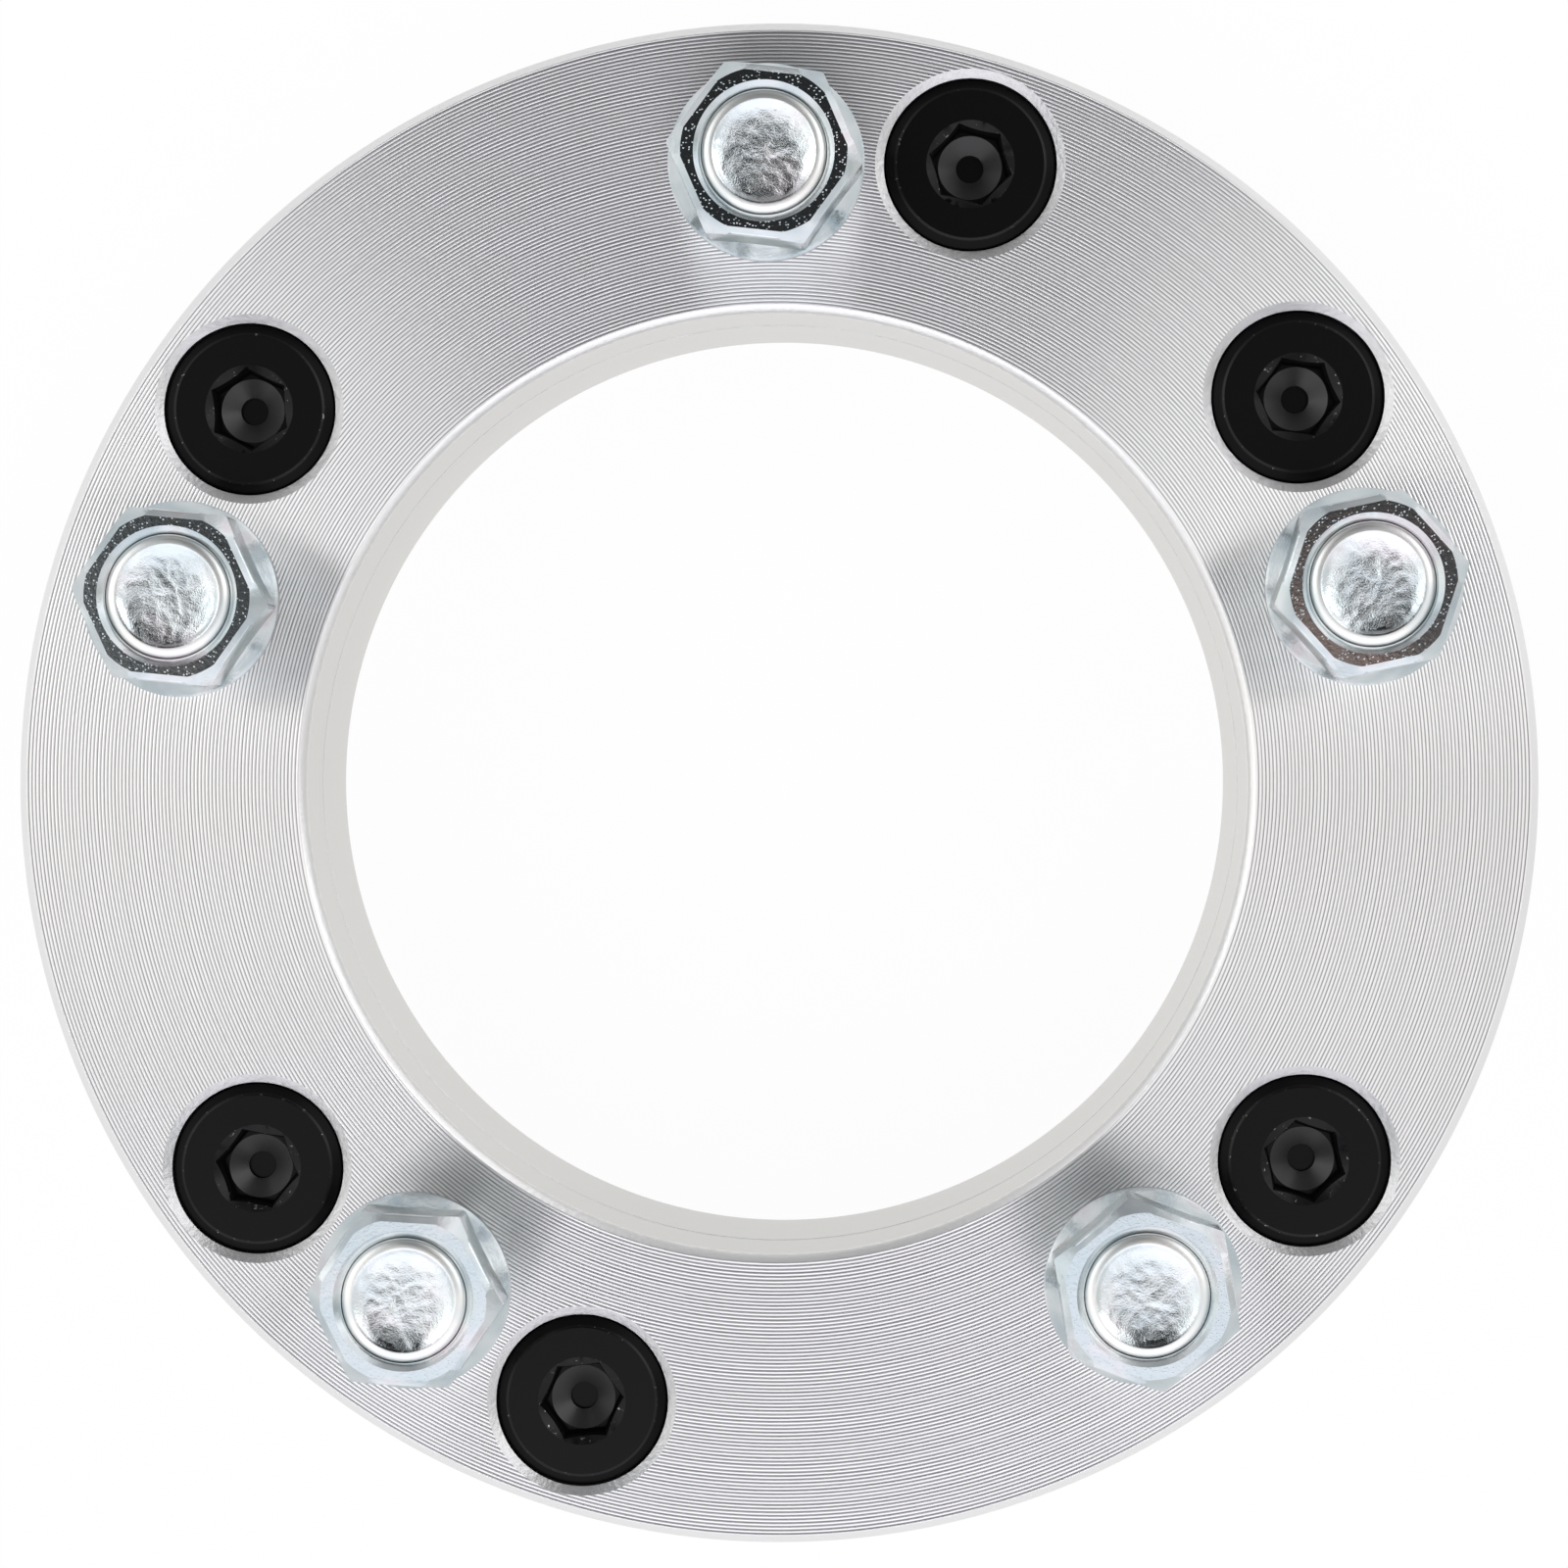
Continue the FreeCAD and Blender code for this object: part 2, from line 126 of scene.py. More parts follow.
class RingSizes(bpy.types.PropertyGroup):
    radius: bpy.props.FloatProperty(
        name="Radius", description="Outside radius of the ring",
        default=width(RING) / 2, unit="LENGTH", precision=5,
    )
    outer_break: length_property("Outer chamfer", "Chamfer on both outside edges", 0.9)
    bore: length_property("Bore radius", "Radius of the centre bore", 54.4)
    front_break: length_property("Front bore chamfer", "Chamfer where the bore meets the front", 1.0)
    rear_break: length_property("Rear bore chamfer", "Chamfer where the bore meets the rear", 0.5)
    stud_hole: length_property("Stud hole radius", "Radius of the hole for a stud's knurl", 7.72)
    stud_hole_break: length_property("Stud hole chamfer", "Chamfer at the stud hole's front edge", 0.5)
    recess: length_property("Head recess radius", "Radius of the recess for a stud's head", 11.25)
    recess_depth: length_property("Head recess depth", "Depth of that recess", 5.0)
    hub_hole: length_property("Hub hole radius", "Radius of the bore for a hub nut's barrel", 10.0)
    mouth_break: length_property("Mouth chamfer", "Width of the chamfer at a hub nut's hole", 1.0)
    mouth_drop: length_property("Mouth chamfer depth", "Depth of that chamfer", 0.58)
    bore_step: length_property("Bore step", "Step where the cuts from both sides of the bore meet", 0.08)
    bore_step_height: length_property("Bore step height", "Height of that step", 21.0)
    hub_stud_hole: length_property("Hub stud radius", "Radius of the hole for a hub's stud", 7.5)
    seat_height: length_property("Seat height", "Height of the small end of the cone seat", 7.0)


class StudSizes(bpy.types.PropertyGroup):
    head_break: length_property("Head edge", "Chamfer on the edge of the head", 0.6)
    head_height: length_property("Head height", "Height of the head", 4.5)
    knurl: length_property("Knurl radius", "Radius over the knurl's teeth", 7.7)
    knurl_depth: length_property("Knurl depth", "Depth of the knurl's teeth", 0.4)
    knurl_length: length_property("Knurl length", "Length of the knurl", 13.0)
    knurl_teeth: bpy.props.IntProperty(
        name="Knurl teeth", description="Number of teeth around the shank", default=24, min=3,
    )
    thread: length_property("Thread radius", "Outside radius of the thread", 6.95)
    pitch: length_property("Pitch", "Thread spacing along the stud", 1.5)
    thread_depth: length_property("Thread depth", "Depth of the thread", 0.85)
    collar: length_property("Tip collar", "Plain length between the thread and the tip's bevel", 0.6)
    tip_bevel: length_property("Tip bevel", "Width of the rounded edge of the tip", 1.1)
    tip_drop: length_property("Tip bevel height", "Height of that edge", 0.7)
    lip: length_property("Tip lip", "Flat width between the bevel and the cup", 0.1)
    cup_depth: length_property("Cup depth", "Depth of the cup that rolling leaves in the tip", 0.6)
    crumple: length_property("Crumple", "How far the cup's floor is crumpled by the rolling", 0.17)
    crumple_size: length_property("Crumple size", "Width of those crumples", 1.6)


class LugNutSizes(bpy.types.PropertyGroup):
    flats: length_property("Across flats", "Width of the hexagon across its flats", 19.0)
    seat: length_property("Seat radius", "Radius of the small end of the cone seat", 7.75)
    flange: length_property("Flange radius", "Radius of the flange", 11.05)
    band: length_property("Flange band", "Height of the flange's straight edge", 1.8)
    shoulder: length_property("Shoulder", "Height from the band to the top of the shoulder", 1.9)
    flange_edge: length_property("Flange edge", "Chamfer on the flange's two edges", 0.35)
    fillet: length_property("Fillet", "How far the shoulder's last bend lies outside the flats", 0.4)
    fillet_height: length_property("Fillet height", "Height of that bend above the band", 1.045)
    corner_round: length_property("Corner rounding", "Rounding of the hexagon's upright edges", 0.3)
    corner: length_property("Corner radius", "Radius at which the corner chamfer meets the top", 9.22)
    edge_break: length_property("Top edge", "Width of the broken edge around the top face", 0.55)
    edge_drop: length_property("Top edge depth", "Depth of that edge", 0.4)
    bore: length_property("Bore radius", "Radius of the threaded bore", 7.0)
    mouth: length_property("Mouth radius", "Radius of the countersink at the top", 7.8)
    foot_break: length_property("Foot chamfer", "Chamfer at the bore's lower end", 0.5)
    turns: angles_property(
        "Turns", "How far each hexagon is turned from a corner at +X, in stud order",
        (-7, -6, -4, 39, 11.5),
    )


class HubNutSizes(bpy.types.PropertyGroup):
    bevel: length_property("Bevel radius", "Radius at which the top meets its bevel", 8.65)
    bevel_depth: length_property("Bevel depth", "Height of that bevel", 0.8)
    seat: length_property("Seat radius", "Radius of the small end of the cone seat", 7.47)
    thread: length_property("Thread radius", "Inside radius of the blind thread", 6.19)
    groove: length_property("Thread groove", "Depth of the thread's groove", 0.81)
    pitch: length_property("Pitch", "Thread spacing", 1.5)
    thread_depth: length_property("Thread depth", "Depth of the blind thread", 14.0)
    socket: length_property("Socket flats", "Width of the socket across its flats", 8.0)
    lead_flats: length_property("Lead-in flats", "Width across flats at the top of the lead-in", 8.6)
    lead_depth: length_property("Lead-in depth", "Depth of the lead-in", 0.9)
    sink: length_property("Countersink radius", "Radius of the countersink around the socket", 5.1)
    socket_depth: length_property("Socket depth", "Depth of the socket's walls", 3.2)
    foot_flats: length_property("Foot flats", "Width across flats where the walls meet the floor", 7.4)
    foot_height: length_property("Foot height", "Height over which the walls narrow to it", 0.5)
    dimple: length_property("Dimple radius", "Radius of the dimple in the socket's floor", 1.6)
    dimple_depth: length_property("Dimple depth", "Depth of that dimple", 0.6)
    turns: angles_property(
        "Turns", "How far each socket is turned from a corner at +X, in nut order",
        (52, 45, 33, 50, 5, 42),
    )


class Finishes(bpy.types.PropertyGroup):
    aluminium: colour_property("Aluminium", "Freshly turned aluminium", "f6f6f6")
    # Painted shade: the bottom of each turning groove is drawn in this darker colour.
    groove: colour_property("Groove", "The same in the bottom of a turning groove", "8c8c8f")
    # Painted shade: a darker, warmer copy of the aluminium for the inside wall of the bore.
    shaded_bore_wall: colour_property("Bored wall", "The same on the duller wall of the bore", "d8d7d4")
    chamfer: colour_property("Chamfer", "The same where a form tool has rubbed an edge", "c9c9ca")
    stud_zinc: colour_property("Stud zinc", "Clear zinc plating on the studs", "e4e5e2")
    cup_zinc: colour_property("Cup zinc", "The bluer plating in the cups of their tips", "d2d7d9")
    nut_zinc: colour_property("Nut zinc", "Clear blue zinc plating on the lug nuts", "e0e6e8")
    # Painted shade: a darker copy of the nut zinc for the level end faces.
    shaded_end_zinc: colour_property("End zinc", "The same on their duller end faces", "c3cbcf")
    zinc_shade: colour_property("Zinc shade", "The thicker, bluer parts of the plating", "b9c6cc")
    zinc_tint: colour_property("Zinc tint", "The faint pink of a thin passivation film", "d8d3d8")
    black: colour_property("Black oxide", "Oiled black oxide on steel", "070708")
    drilled: colour_property("Drilled floor", "The thin black oxide on a socket's floor", "292828")
    worn_edge: colour_property("Worn edge", "Steel that shows at a worn edge", "8c8b88")
    card: colour_property("Card", "Brown card that the nuts mirror", "c8a293")
    floor: colour_property("Floor", "White paper sweep", "f8f8f8")


class StageSizes(bpy.types.PropertyGroup):
    camera_place: place_property(
        "Camera place", "Where the camera stands", (13.26 * MM, 4.0 * MM, 512.3 * MM)
    )
    camera_aim: place_property(
        "Camera aim", "Point on the front face that the camera looks at", (0.97 * MM, 0.0, 35 * MM)
    )
    camera_up: bpy.props.FloatVectorProperty(
        name="Camera up", description="Direction that is up in the picture",
        default=(0.0093, 0.9999, -0.0086), size=3,
    )
    lens: bpy.props.FloatProperty(
        name="Lens", description="Focal length in millimetres on a 36 mm sensor", default=94.77,
    )
    floor_size: bpy.props.FloatProperty(
        name="Floor size", description="Width of the paper sweep", default=6.0, unit="LENGTH",
    )
    card_place: place_property(
        "Card place", "Where the brown card hangs", (100 * MM, 15 * MM, 500 * MM)
    )
    card_width: length_property("Card width", "Width of the brown card", 36)
    card_height: length_property("Card height", "Height of the brown card", 40)
    left_softbox: place_property("Left softbox", "Where the left softbox stands", (-0.58, 0.3, 0.75))
    right_softbox: place_property(
        "Right softbox", "Where the right softbox stands", (0.57, 0.32, 0.75)
    )
    softbox_aim: place_property("Softbox aim", "Point that both softboxes face", (0.0, 0.0, 0.03))
    softbox_size: length_property("Softbox size", "Width and height of each softbox", 450)
    softbox_power: bpy.props.FloatProperty(
        name="Softbox power", description="Power of each softbox in watts", default=0.5, min=0.0,
    )


# Mesh helpers

def deselect():
    bpy.ops.object.select_all(action="DESELECT")


def make_active(piece):
    deselect()
    piece.select_set(True)
    bpy.context.view_layer.objects.active = piece


def apply_place():
    bpy.ops.object.transform_apply(location=True, rotation=True, scale=True)


def edit_all():
    """Enter edit mode with the whole mesh selected."""
    bpy.ops.object.mode_set(mode="EDIT")
    bpy.ops.mesh.select_all(action="SELECT")


def edit_chosen(parts, test):
    """Enter edit mode with those corners, edges or faces selected that pass a test."""
    bpy.ops.object.mode_set(mode="EDIT")
    bpy.ops.mesh.select_all(action="DESELECT")
    bpy.ops.object.mode_set(mode="OBJECT")
    for part in parts:
        part.select = test(part)
    bpy.ops.object.mode_set(mode="EDIT")


def leave_edit():
    bpy.ops.object.mode_set(mode="OBJECT")


def turn_outwards():
    """Point all faces of the mesh outwards."""
    bpy.ops.mesh.select_all(action="SELECT")
    bpy.ops.mesh.normals_make_consistent(inside=False)


def turn_profile(name, profile, segments, closed=False):
    """Turn a profile of (radius, height) pairs about Z: a circle, extruded and resized ring by ring.
    A closed profile comes back to its first ring, and an open one starts and ends on the axis."""
    deselect()
    radius, height = profile[0]
    bpy.ops.mesh.primitive_circle_add(vertices=segments, radius=radius, location=(0, 0, height))
    piece = bpy.context.object
    piece.name = name
    apply_place()
    edit_all()
    rings = profile[1:] + profile[:1] if closed else profile[1:]
    for next_radius, next_height in rings:
        bpy.ops.mesh.extrude_region_move(
            TRANSFORM_OT_translate={"value": (0, 0, next_height - height)}
        )
        scale = next_radius / radius
        bpy.ops.transform.resize(value=(scale, scale, 1), center_override=(0, 0, 0))
        radius, height = next_radius, next_height
    bpy.ops.mesh.select_all(action="SELECT")
    bpy.ops.mesh.remove_doubles(threshold=SAME_PLACE)
    if not closed:
        bpy.ops.mesh.select_non_manifold()
        bpy.ops.mesh.edge_face_add()
    turn_outwards()
    leave_edit()
    return piece


def hexagonal_bar(name, flats, low, high, top_flats=None):
    """Add a hexagonal bar with a corner at +X, tapered where its top has other flats."""
    deselect()
    corner = 1 / math.sqrt(3)
    bpy.ops.mesh.primitive_cone_add(
        vertices=6, radius1=flats * corner, radius2=(top_flats or flats) * corner,
        depth=high - low, location=(0, 0, (low + high) / 2), rotation=(0, 0, math.pi / 2),
    )
    piece = bpy.context.object
    piece.name = name
    apply_place()
    return piece


def combine(piece, other, operation):
    """Cut, join or keep the common part of two closed pieces, and use up the second."""
    make_active(piece)
    step = piece.modifiers.new(operation.title(), "BOOLEAN")
    step.operation = operation
    step.solver = "EXACT"
    step.object = other
    bpy.ops.object.modifier_apply(modifier=step.name)
    bpy.data.objects.remove(other, do_unlink=True)


def widen_top(piece, rise, growth):
    """Extrude the top face of a piece upwards and make it larger or smaller."""
    make_active(piece)
    edit_chosen(piece.data.polygons, lambda face: face.normal.z > LEVEL)
    bpy.ops.mesh.extrude_region_move(TRANSFORM_OT_translate={"value": (0, 0, rise)})
    bpy.ops.transform.resize(value=(growth, growth, 1), center_override=(0, 0, 0))
    leave_edit()


def round_upright_edges(piece, size):
    """Bevel the upright edges of a bar."""
    make_active(piece)
    corners = piece.data.vertices

    def is_upright(edge):
        start, end = edge.vertices
        run = corners[start].co - corners[end].co
        return abs(run.z) > LEVEL * run.length

    edit_chosen(piece.data.edges, is_upright)
    bpy.ops.mesh.select_mode(type="EDGE")
    bpy.ops.mesh.bevel(offset=size, segments=3, affect="EDGES")
    leave_edit()


def smooth_curves(piece, angle, flats=None):
    """Shade the turned surfaces smooth, and leave the level faces and a hexagon's flats flat."""
    make_active(piece)
    bpy.ops.object.shade_smooth_by_angle(angle=math.radians(angle))
    near = 0.01 * MM
    for face in piece.data.polygons:
        level = abs(face.normal.z) > LEVEL
        upright = abs(face.normal.z) < 1 - LEVEL
        reach = face.center.xy.dot(face.normal.xy)
        if level or (flats and upright and abs(reach - flats / 2) < near):
            face.use_smooth = False


def copy_to(piece, name, place, turn=0.0):
    """Copy a piece with a mesh of its own, turned about Z and then moved."""
    copy = piece.copy()
    copy.data = piece.data.copy()
    copy.name = name
    copy.data.transform(Matrix.Translation(place) @ Matrix.Rotation(turn, 4, "Z"))
    bpy.context.collection.objects.link(copy)
    return copy


def hand_over(piece, node):
    """Let a finished piece stand for its node, on the root body."""
    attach(piece, "root")
    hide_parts(node)


def remove_piece(piece):
    bpy.data.objects.remove(piece, do_unlink=True)


def place_copies(pattern, name, nodes, turns):
    """Copy a pattern onto the axis of each node, at its own turn, and remove the pattern."""
    for number, (node, turn) in enumerate(zip(nodes, turns), 1):
        place = axis_of(node) + Vector((0, 0, height_span(node)[0]))
        piece = copy_to(pattern, f"{name}_{number}", place, turn)
        hand_over(piece, node)
    remove_piece(pattern)


def paint(piece, material, test=None):
    """Give a material to the faces that pass a test of their centre and normal."""
    piece.data.materials.append(material)
    index = len(piece.data.materials) - 1
    for face in piece.data.polygons:
        if test is None or test(face.center, face.normal):
            face.material_index = index


# Material helpers

def set_up(tree, node, values=None, links=None):
    """Set a node's socket values and connect its incoming links."""
    for socket, value in (values or {}).items():
        node.inputs[socket].default_value = value
    for socket, source in (links or {}).items():
        tree.links.new(source, node.inputs[socket])
    return node


def add_node(tree, kind, values=None, links=None, **settings):
    """Add a node with its settings, socket values and incoming links."""
    node = tree.nodes.new(kind)
    for key, value in settings.items():
        setattr(node, key, value)
    return set_up(tree, node, values, links)


def start_material(name):
    """Return a new material's tree with its shader and the object's coordinates."""
    material = bpy.data.materials.new(name)
    material.use_nodes = True
    tree = material.node_tree
    shader = tree.nodes["Principled BSDF"]
    place = add_node(tree, "ShaderNodeTexCoord").outputs["Object"]
    return material, tree, shader, place


def radius_of(tree, place):
    """Return the outward direction and the distance from the ring's axis."""
    flat = add_node(tree, "ShaderNodeVectorMath", {1: (1, 1, 0)}, {0: place}, operation="MULTIPLY")
    outward = add_node(tree, "ShaderNodeVectorMath", None, {0: flat.outputs[0]}, operation="NORMALIZE")
    distance = add_node(tree, "ShaderNodeVectorMath", None, {0: flat.outputs[0]}, operation="LENGTH")
    return outward.outputs[0], distance.outputs["Value"]


def turning_lines(tree, distance, pitch):
    """Return waves one pitch apart, from -1 to 1, along a distance."""
    phase = add_node(tree, "ShaderNodeMath", {1: FULL_TURN / pitch}, {0: distance}, operation="MULTIPLY")
    return add_node(tree, "ShaderNodeMath", None, {0: phase.outputs[0]}, operation="SINE").outputs[0]


# Turned aluminium: a bare alloy faced on a lathe. The tool leaves a fine spiral of grooves, so the
# face shines in bands that run outwards from the centre, across the grooves.

FACE_PITCH = 0.42 * MM  # real grooves are about 0.32 mm apart, drawn coarser so that they show
WALL_PITCH = 0.45 * MM


def turned_aluminium(name, along, pitch, groove_depth, roughness, colour, painted_groove_shade):
    """Make turned metal whose grooves are spaced along the radius or along the height. The groove
    shade, from 0 to 1, is how far the bottom of a groove is darkened to the groove's colour: painted
    shade."""
    groove = bpy.context.scene.spacer_finishes.groove
    material, tree, shader, place = start_material(name)
    outward, radius = radius_of(tree, place)
    height = add_node(tree, "ShaderNodeSeparateXYZ", None, {0: place}).outputs["Z"]
    distance = radius if along == "RADIUS" else height
    lines = turning_lines(tree, distance, pitch)
    per_groove = add_node(
        tree, "ShaderNodeMath", {1: 1 / pitch}, {0: distance}, operation="MULTIPLY"
    )
    uneven = add_node(
        tree, "ShaderNodeTexNoise", {"Scale": 0.7, "Detail": 2.0}, {"W": per_groove.outputs[0]},
        noise_dimensions="1D",
    )
    depth = add_node(
        tree, "ShaderNodeMapRange", {"To Min": 0.4, "To Max": 1.3}, {"Value": uneven.outputs["Fac"]}
    )
    cut = add_node(
        tree, "ShaderNodeMath", None, {0: lines, 1: depth.outputs[0]}, operation="MULTIPLY"
    )
    # Painted shade: the bottom of each groove is darkened towards the groove colour, on top of the real
    # bump.
    shade = add_node(
        tree, "ShaderNodeMapRange",
        {"From Min": -1.0, "From Max": 0.2, "To Min": painted_groove_shade, "To Max": 0.0},
        {"Value": cut.outputs[0]},
    )
    mixed = add_node(
        tree, "ShaderNodeMix", {"A": colour, "B": groove}, {"Factor": shade.outputs[0]},
        data_type="RGBA",
    )
    bump = add_node(
        tree, "ShaderNodeBump", {"Strength": 1.0, "Distance": groove_depth}, {"Height": cut.outputs[0]}
    )
    across = outward
    if along == "HEIGHT":
        across = add_node(tree, "ShaderNodeCombineXYZ", {2: 1.0}).outputs[0]
    set_up(
        tree, shader, {"Metallic": 1.0, "Roughness": roughness, "Anisotropic": 0.85},
        {"Base Color": mixed.outputs["Result"], "Normal": bump.outputs[0], "Tangent": across},
    )
    return material


# Chamfer cuts: the same alloy, cut or rubbed by a form tool, so it has no grooves and is mottled.

MOTTLE_SIZE = 0.6 * MM


def cut_aluminium(name, colour, roughness, mottle_depth):
    """Make the cut metal, uneven to a depth in metres where the tool has rubbed it."""
    material, tree, shader, place = start_material(name)
    mottle = add_node(
        tree, "ShaderNodeTexNoise", {"Scale": 1 / MOTTLE_SIZE, "Detail": 4.0}, {"Vector": place}
    )
    bump = add_node(
        tree, "ShaderNodeBump", {"Strength": 1.0, "Distance": mottle_depth},
        {"Height": mottle.outputs["Fac"]},
    )
    set_up(
        tree, shader, {"Metallic": 1.0, "Roughness": roughness, "Base Color": colour},
        {"Normal": bump.outputs[0]},
    )
    return material


# Clear zinc plating on steel: a bright, bluish metal with a fine crystalline grain, which breaks
# its reflections into speckles, and a faint pink or blue film.

FILM_PATCH = 6.0 * MM  # width of the patches in which the film is thicker


def crystal_specks(tree, place, grain, speck_size):
    """Add sparse raised crystals, in half of the cells of a net, to a grain's height."""
    spacing = 3 * speck_size
    net = add_node(tree, "ShaderNodeTexVoronoi", {"Scale": 1 / spacing}, {"Vector": place})
    near = add_node(
        tree, "ShaderNodeMapRange", {"From Min": 0.3, "From Max": 0.1}, {"Value": net.outputs["Distance"]}
    )
    chance = add_node(tree, "ShaderNodeSeparateColor", None, {0: net.outputs["Color"]})
    chosen = add_node(
        tree, "ShaderNodeMath", {1: 0.5}, {0: chance.outputs["Red"]}, operation="GREATER_THAN"
    )
    crystals = add_node(
        tree, "ShaderNodeMath", None, {0: near.outputs[0], 1: chosen.outputs[0]}, operation="MULTIPLY"
    )
    return add_node(
        tree, "ShaderNodeMath", {1: 1.6}, {0: crystals.outputs[0], 2: grain}, operation="MULTIPLY_ADD"
    ).outputs[0]


def zinc_plating(name, colour, film, grain_size, grain_depth, roughness, speck_size=None):
    """Make the plating with a film of a strength up to 1, a grain, and crystals of a size if given."""
    colours = bpy.context.scene.spacer_finishes
    material, tree, shader, place = start_material(name)
    clouds = add_node(
        tree, "ShaderNodeTexNoise", {"Scale": 1 / FILM_PATCH, "Detail": 2.0}, {"Vector": place}
    )
    blue = add_node(
        tree, "ShaderNodeMapRange", {"From Min": 0.4, "From Max": 0.65, "To Max": film},
        {"Value": clouds.outputs["Fac"]},
    )
    plated = add_node(
        tree, "ShaderNodeMix", {"A": colour, "B": colours.zinc_shade}, {"Factor": blue.outputs[0]},
        data_type="RGBA",
    )
    pink = add_node(
        tree, "ShaderNodeMapRange", {"From Min": 0.42, "From Max": 0.3, "To Max": film},
        {"Value": clouds.outputs["Fac"]},
    )
    tinted = add_node(
        tree, "ShaderNodeMix", {"B": colours.zinc_tint},
        {"Factor": pink.outputs[0], "A": plated.outputs["Result"]}, data_type="RGBA",
    )
    grain = add_node(
        tree, "ShaderNodeTexNoise", {"Scale": 1 / grain_size, "Detail": 4.0, "Roughness": 0.6},
        {"Vector": place},
    )
    height = grain.outputs["Fac"]
    if speck_size:
        height = crystal_specks(tree, place, height, speck_size)
    bump = add_node(
        tree, "ShaderNodeBump", {"Strength": 1.0, "Distance": grain_depth}, {"Height": height}
    )
    set_up(
        tree, shader, {"Metallic": 1.0, "Roughness": roughness},
        {"Base Color": tinted.outputs["Result"], "Normal": bump.outputs[0]},
    )
    return material


# Black oxide on steel: a thin oiled black layer with a satin gloss. It wears off sharp edges, where
# the steel shows in small bright spots.

WORN_SPOT = 0.7 * MM
OXIDE_GRAIN = 0.25 * MM
OXIDE_GRAIN_DEPTH = 0.006 * MM


def black_oxide(name, colour, wear, gloss):
    """Make the black layer with a gloss, worn where a noise passes a level between 0 and 1."""
    worn_edge = bpy.context.scene.spacer_finishes.worn_edge
    material, tree, shader, place = start_material(name)
    spots = add_node(
        tree, "ShaderNodeTexNoise", {"Scale": 1 / WORN_SPOT, "Detail": 5.0, "Roughness": 0.7},
        {"Vector": place},
    )
    mask = add_node(
        tree, "ShaderNodeMapRange", {"From Min": wear, "From Max": wear + 0.04},
        {"Value": spots.outputs["Fac"]},
    )
    mixed = add_node(
        tree, "ShaderNodeMix", {"A": colour, "B": worn_edge}, {"Factor": mask.outputs[0]},
        data_type="RGBA",
    )
    grain = add_node(
        tree, "ShaderNodeTexNoise", {"Scale": 1 / OXIDE_GRAIN, "Detail": 3.0}, {"Vector": place}
    )
    bump = add_node(
        tree, "ShaderNodeBump", {"Strength": 1.0, "Distance": OXIDE_GRAIN_DEPTH},
        {"Height": grain.outputs["Fac"]},
    )
    set_up(
        tree, shader, {"Roughness": 0.3, "Specular IOR Level": gloss},
        {"Base Color": mixed.outputs["Result"], "Metallic": mask.outputs[0], "Normal": bump.outputs[0]},
    )
    return material


# The turned ring

def ring_blank(sizes, top):
    """Turn the ring's section: bore, chamfers and outside. The bore's front chamfer is softened
    by one more point between its ends."""
    front_bore = sizes.bore + sizes.bore_step
    softened_width = 0.4 * sizes.front_break
    softened_depth = 0.35 * sizes.front_break
    return turn_profile("ring_blank", [
        (sizes.bore, sizes.rear_break),
        (sizes.bore + sizes.rear_break, 0.0),
        (sizes.radius - sizes.outer_break, 0.0),
        (sizes.radius, sizes.outer_break),
        (sizes.radius, top - sizes.outer_break),
        (sizes.radius - sizes.outer_break, top),
        (sizes.bore + sizes.front_break, top),
        (front_bore + softened_width, top - softened_depth),
        (front_bore, top - sizes.front_break),
        (front_bore, sizes.bore_step_height),
        (sizes.bore, sizes.bore_step_height - sizes.bore_step),
    ], 288, closed=True)


def stud_hole_cutter(sizes, top):
    """Turn the tool shape for a stud's hole, its head recess and its front chamfer."""
    flare = sizes.stud_hole + sizes.stud_hole_break
    return turn_profile("stud_hole_cutter", [
        (sizes.recess, -PAST),
        (sizes.recess, sizes.recess_depth),
        (sizes.stud_hole, sizes.recess_depth),
        (sizes.stud_hole, top - sizes.stud_hole_break),
        (flare, top),
        (flare, top + PAST),
    ], 72)


def hub_hole_cutter(sizes, top):
    """Turn the tool shape for a hub nut's stepped hole."""
    rise = (sizes.hub_hole - sizes.hub_stud_hole) / SEAT_SLOPE
    mouth = sizes.hub_hole + sizes.mouth_break
    return turn_profile("hub_hole_cutter", [
        (sizes.hub_stud_hole, -PAST),
        (sizes.hub_stud_hole, sizes.seat_height),
        (sizes.hub_hole, sizes.seat_height + rise),
        (sizes.hub_hole, top - sizes.mouth_drop),
        (mouth, top),
        (mouth, top + PAST),
    ], 96)


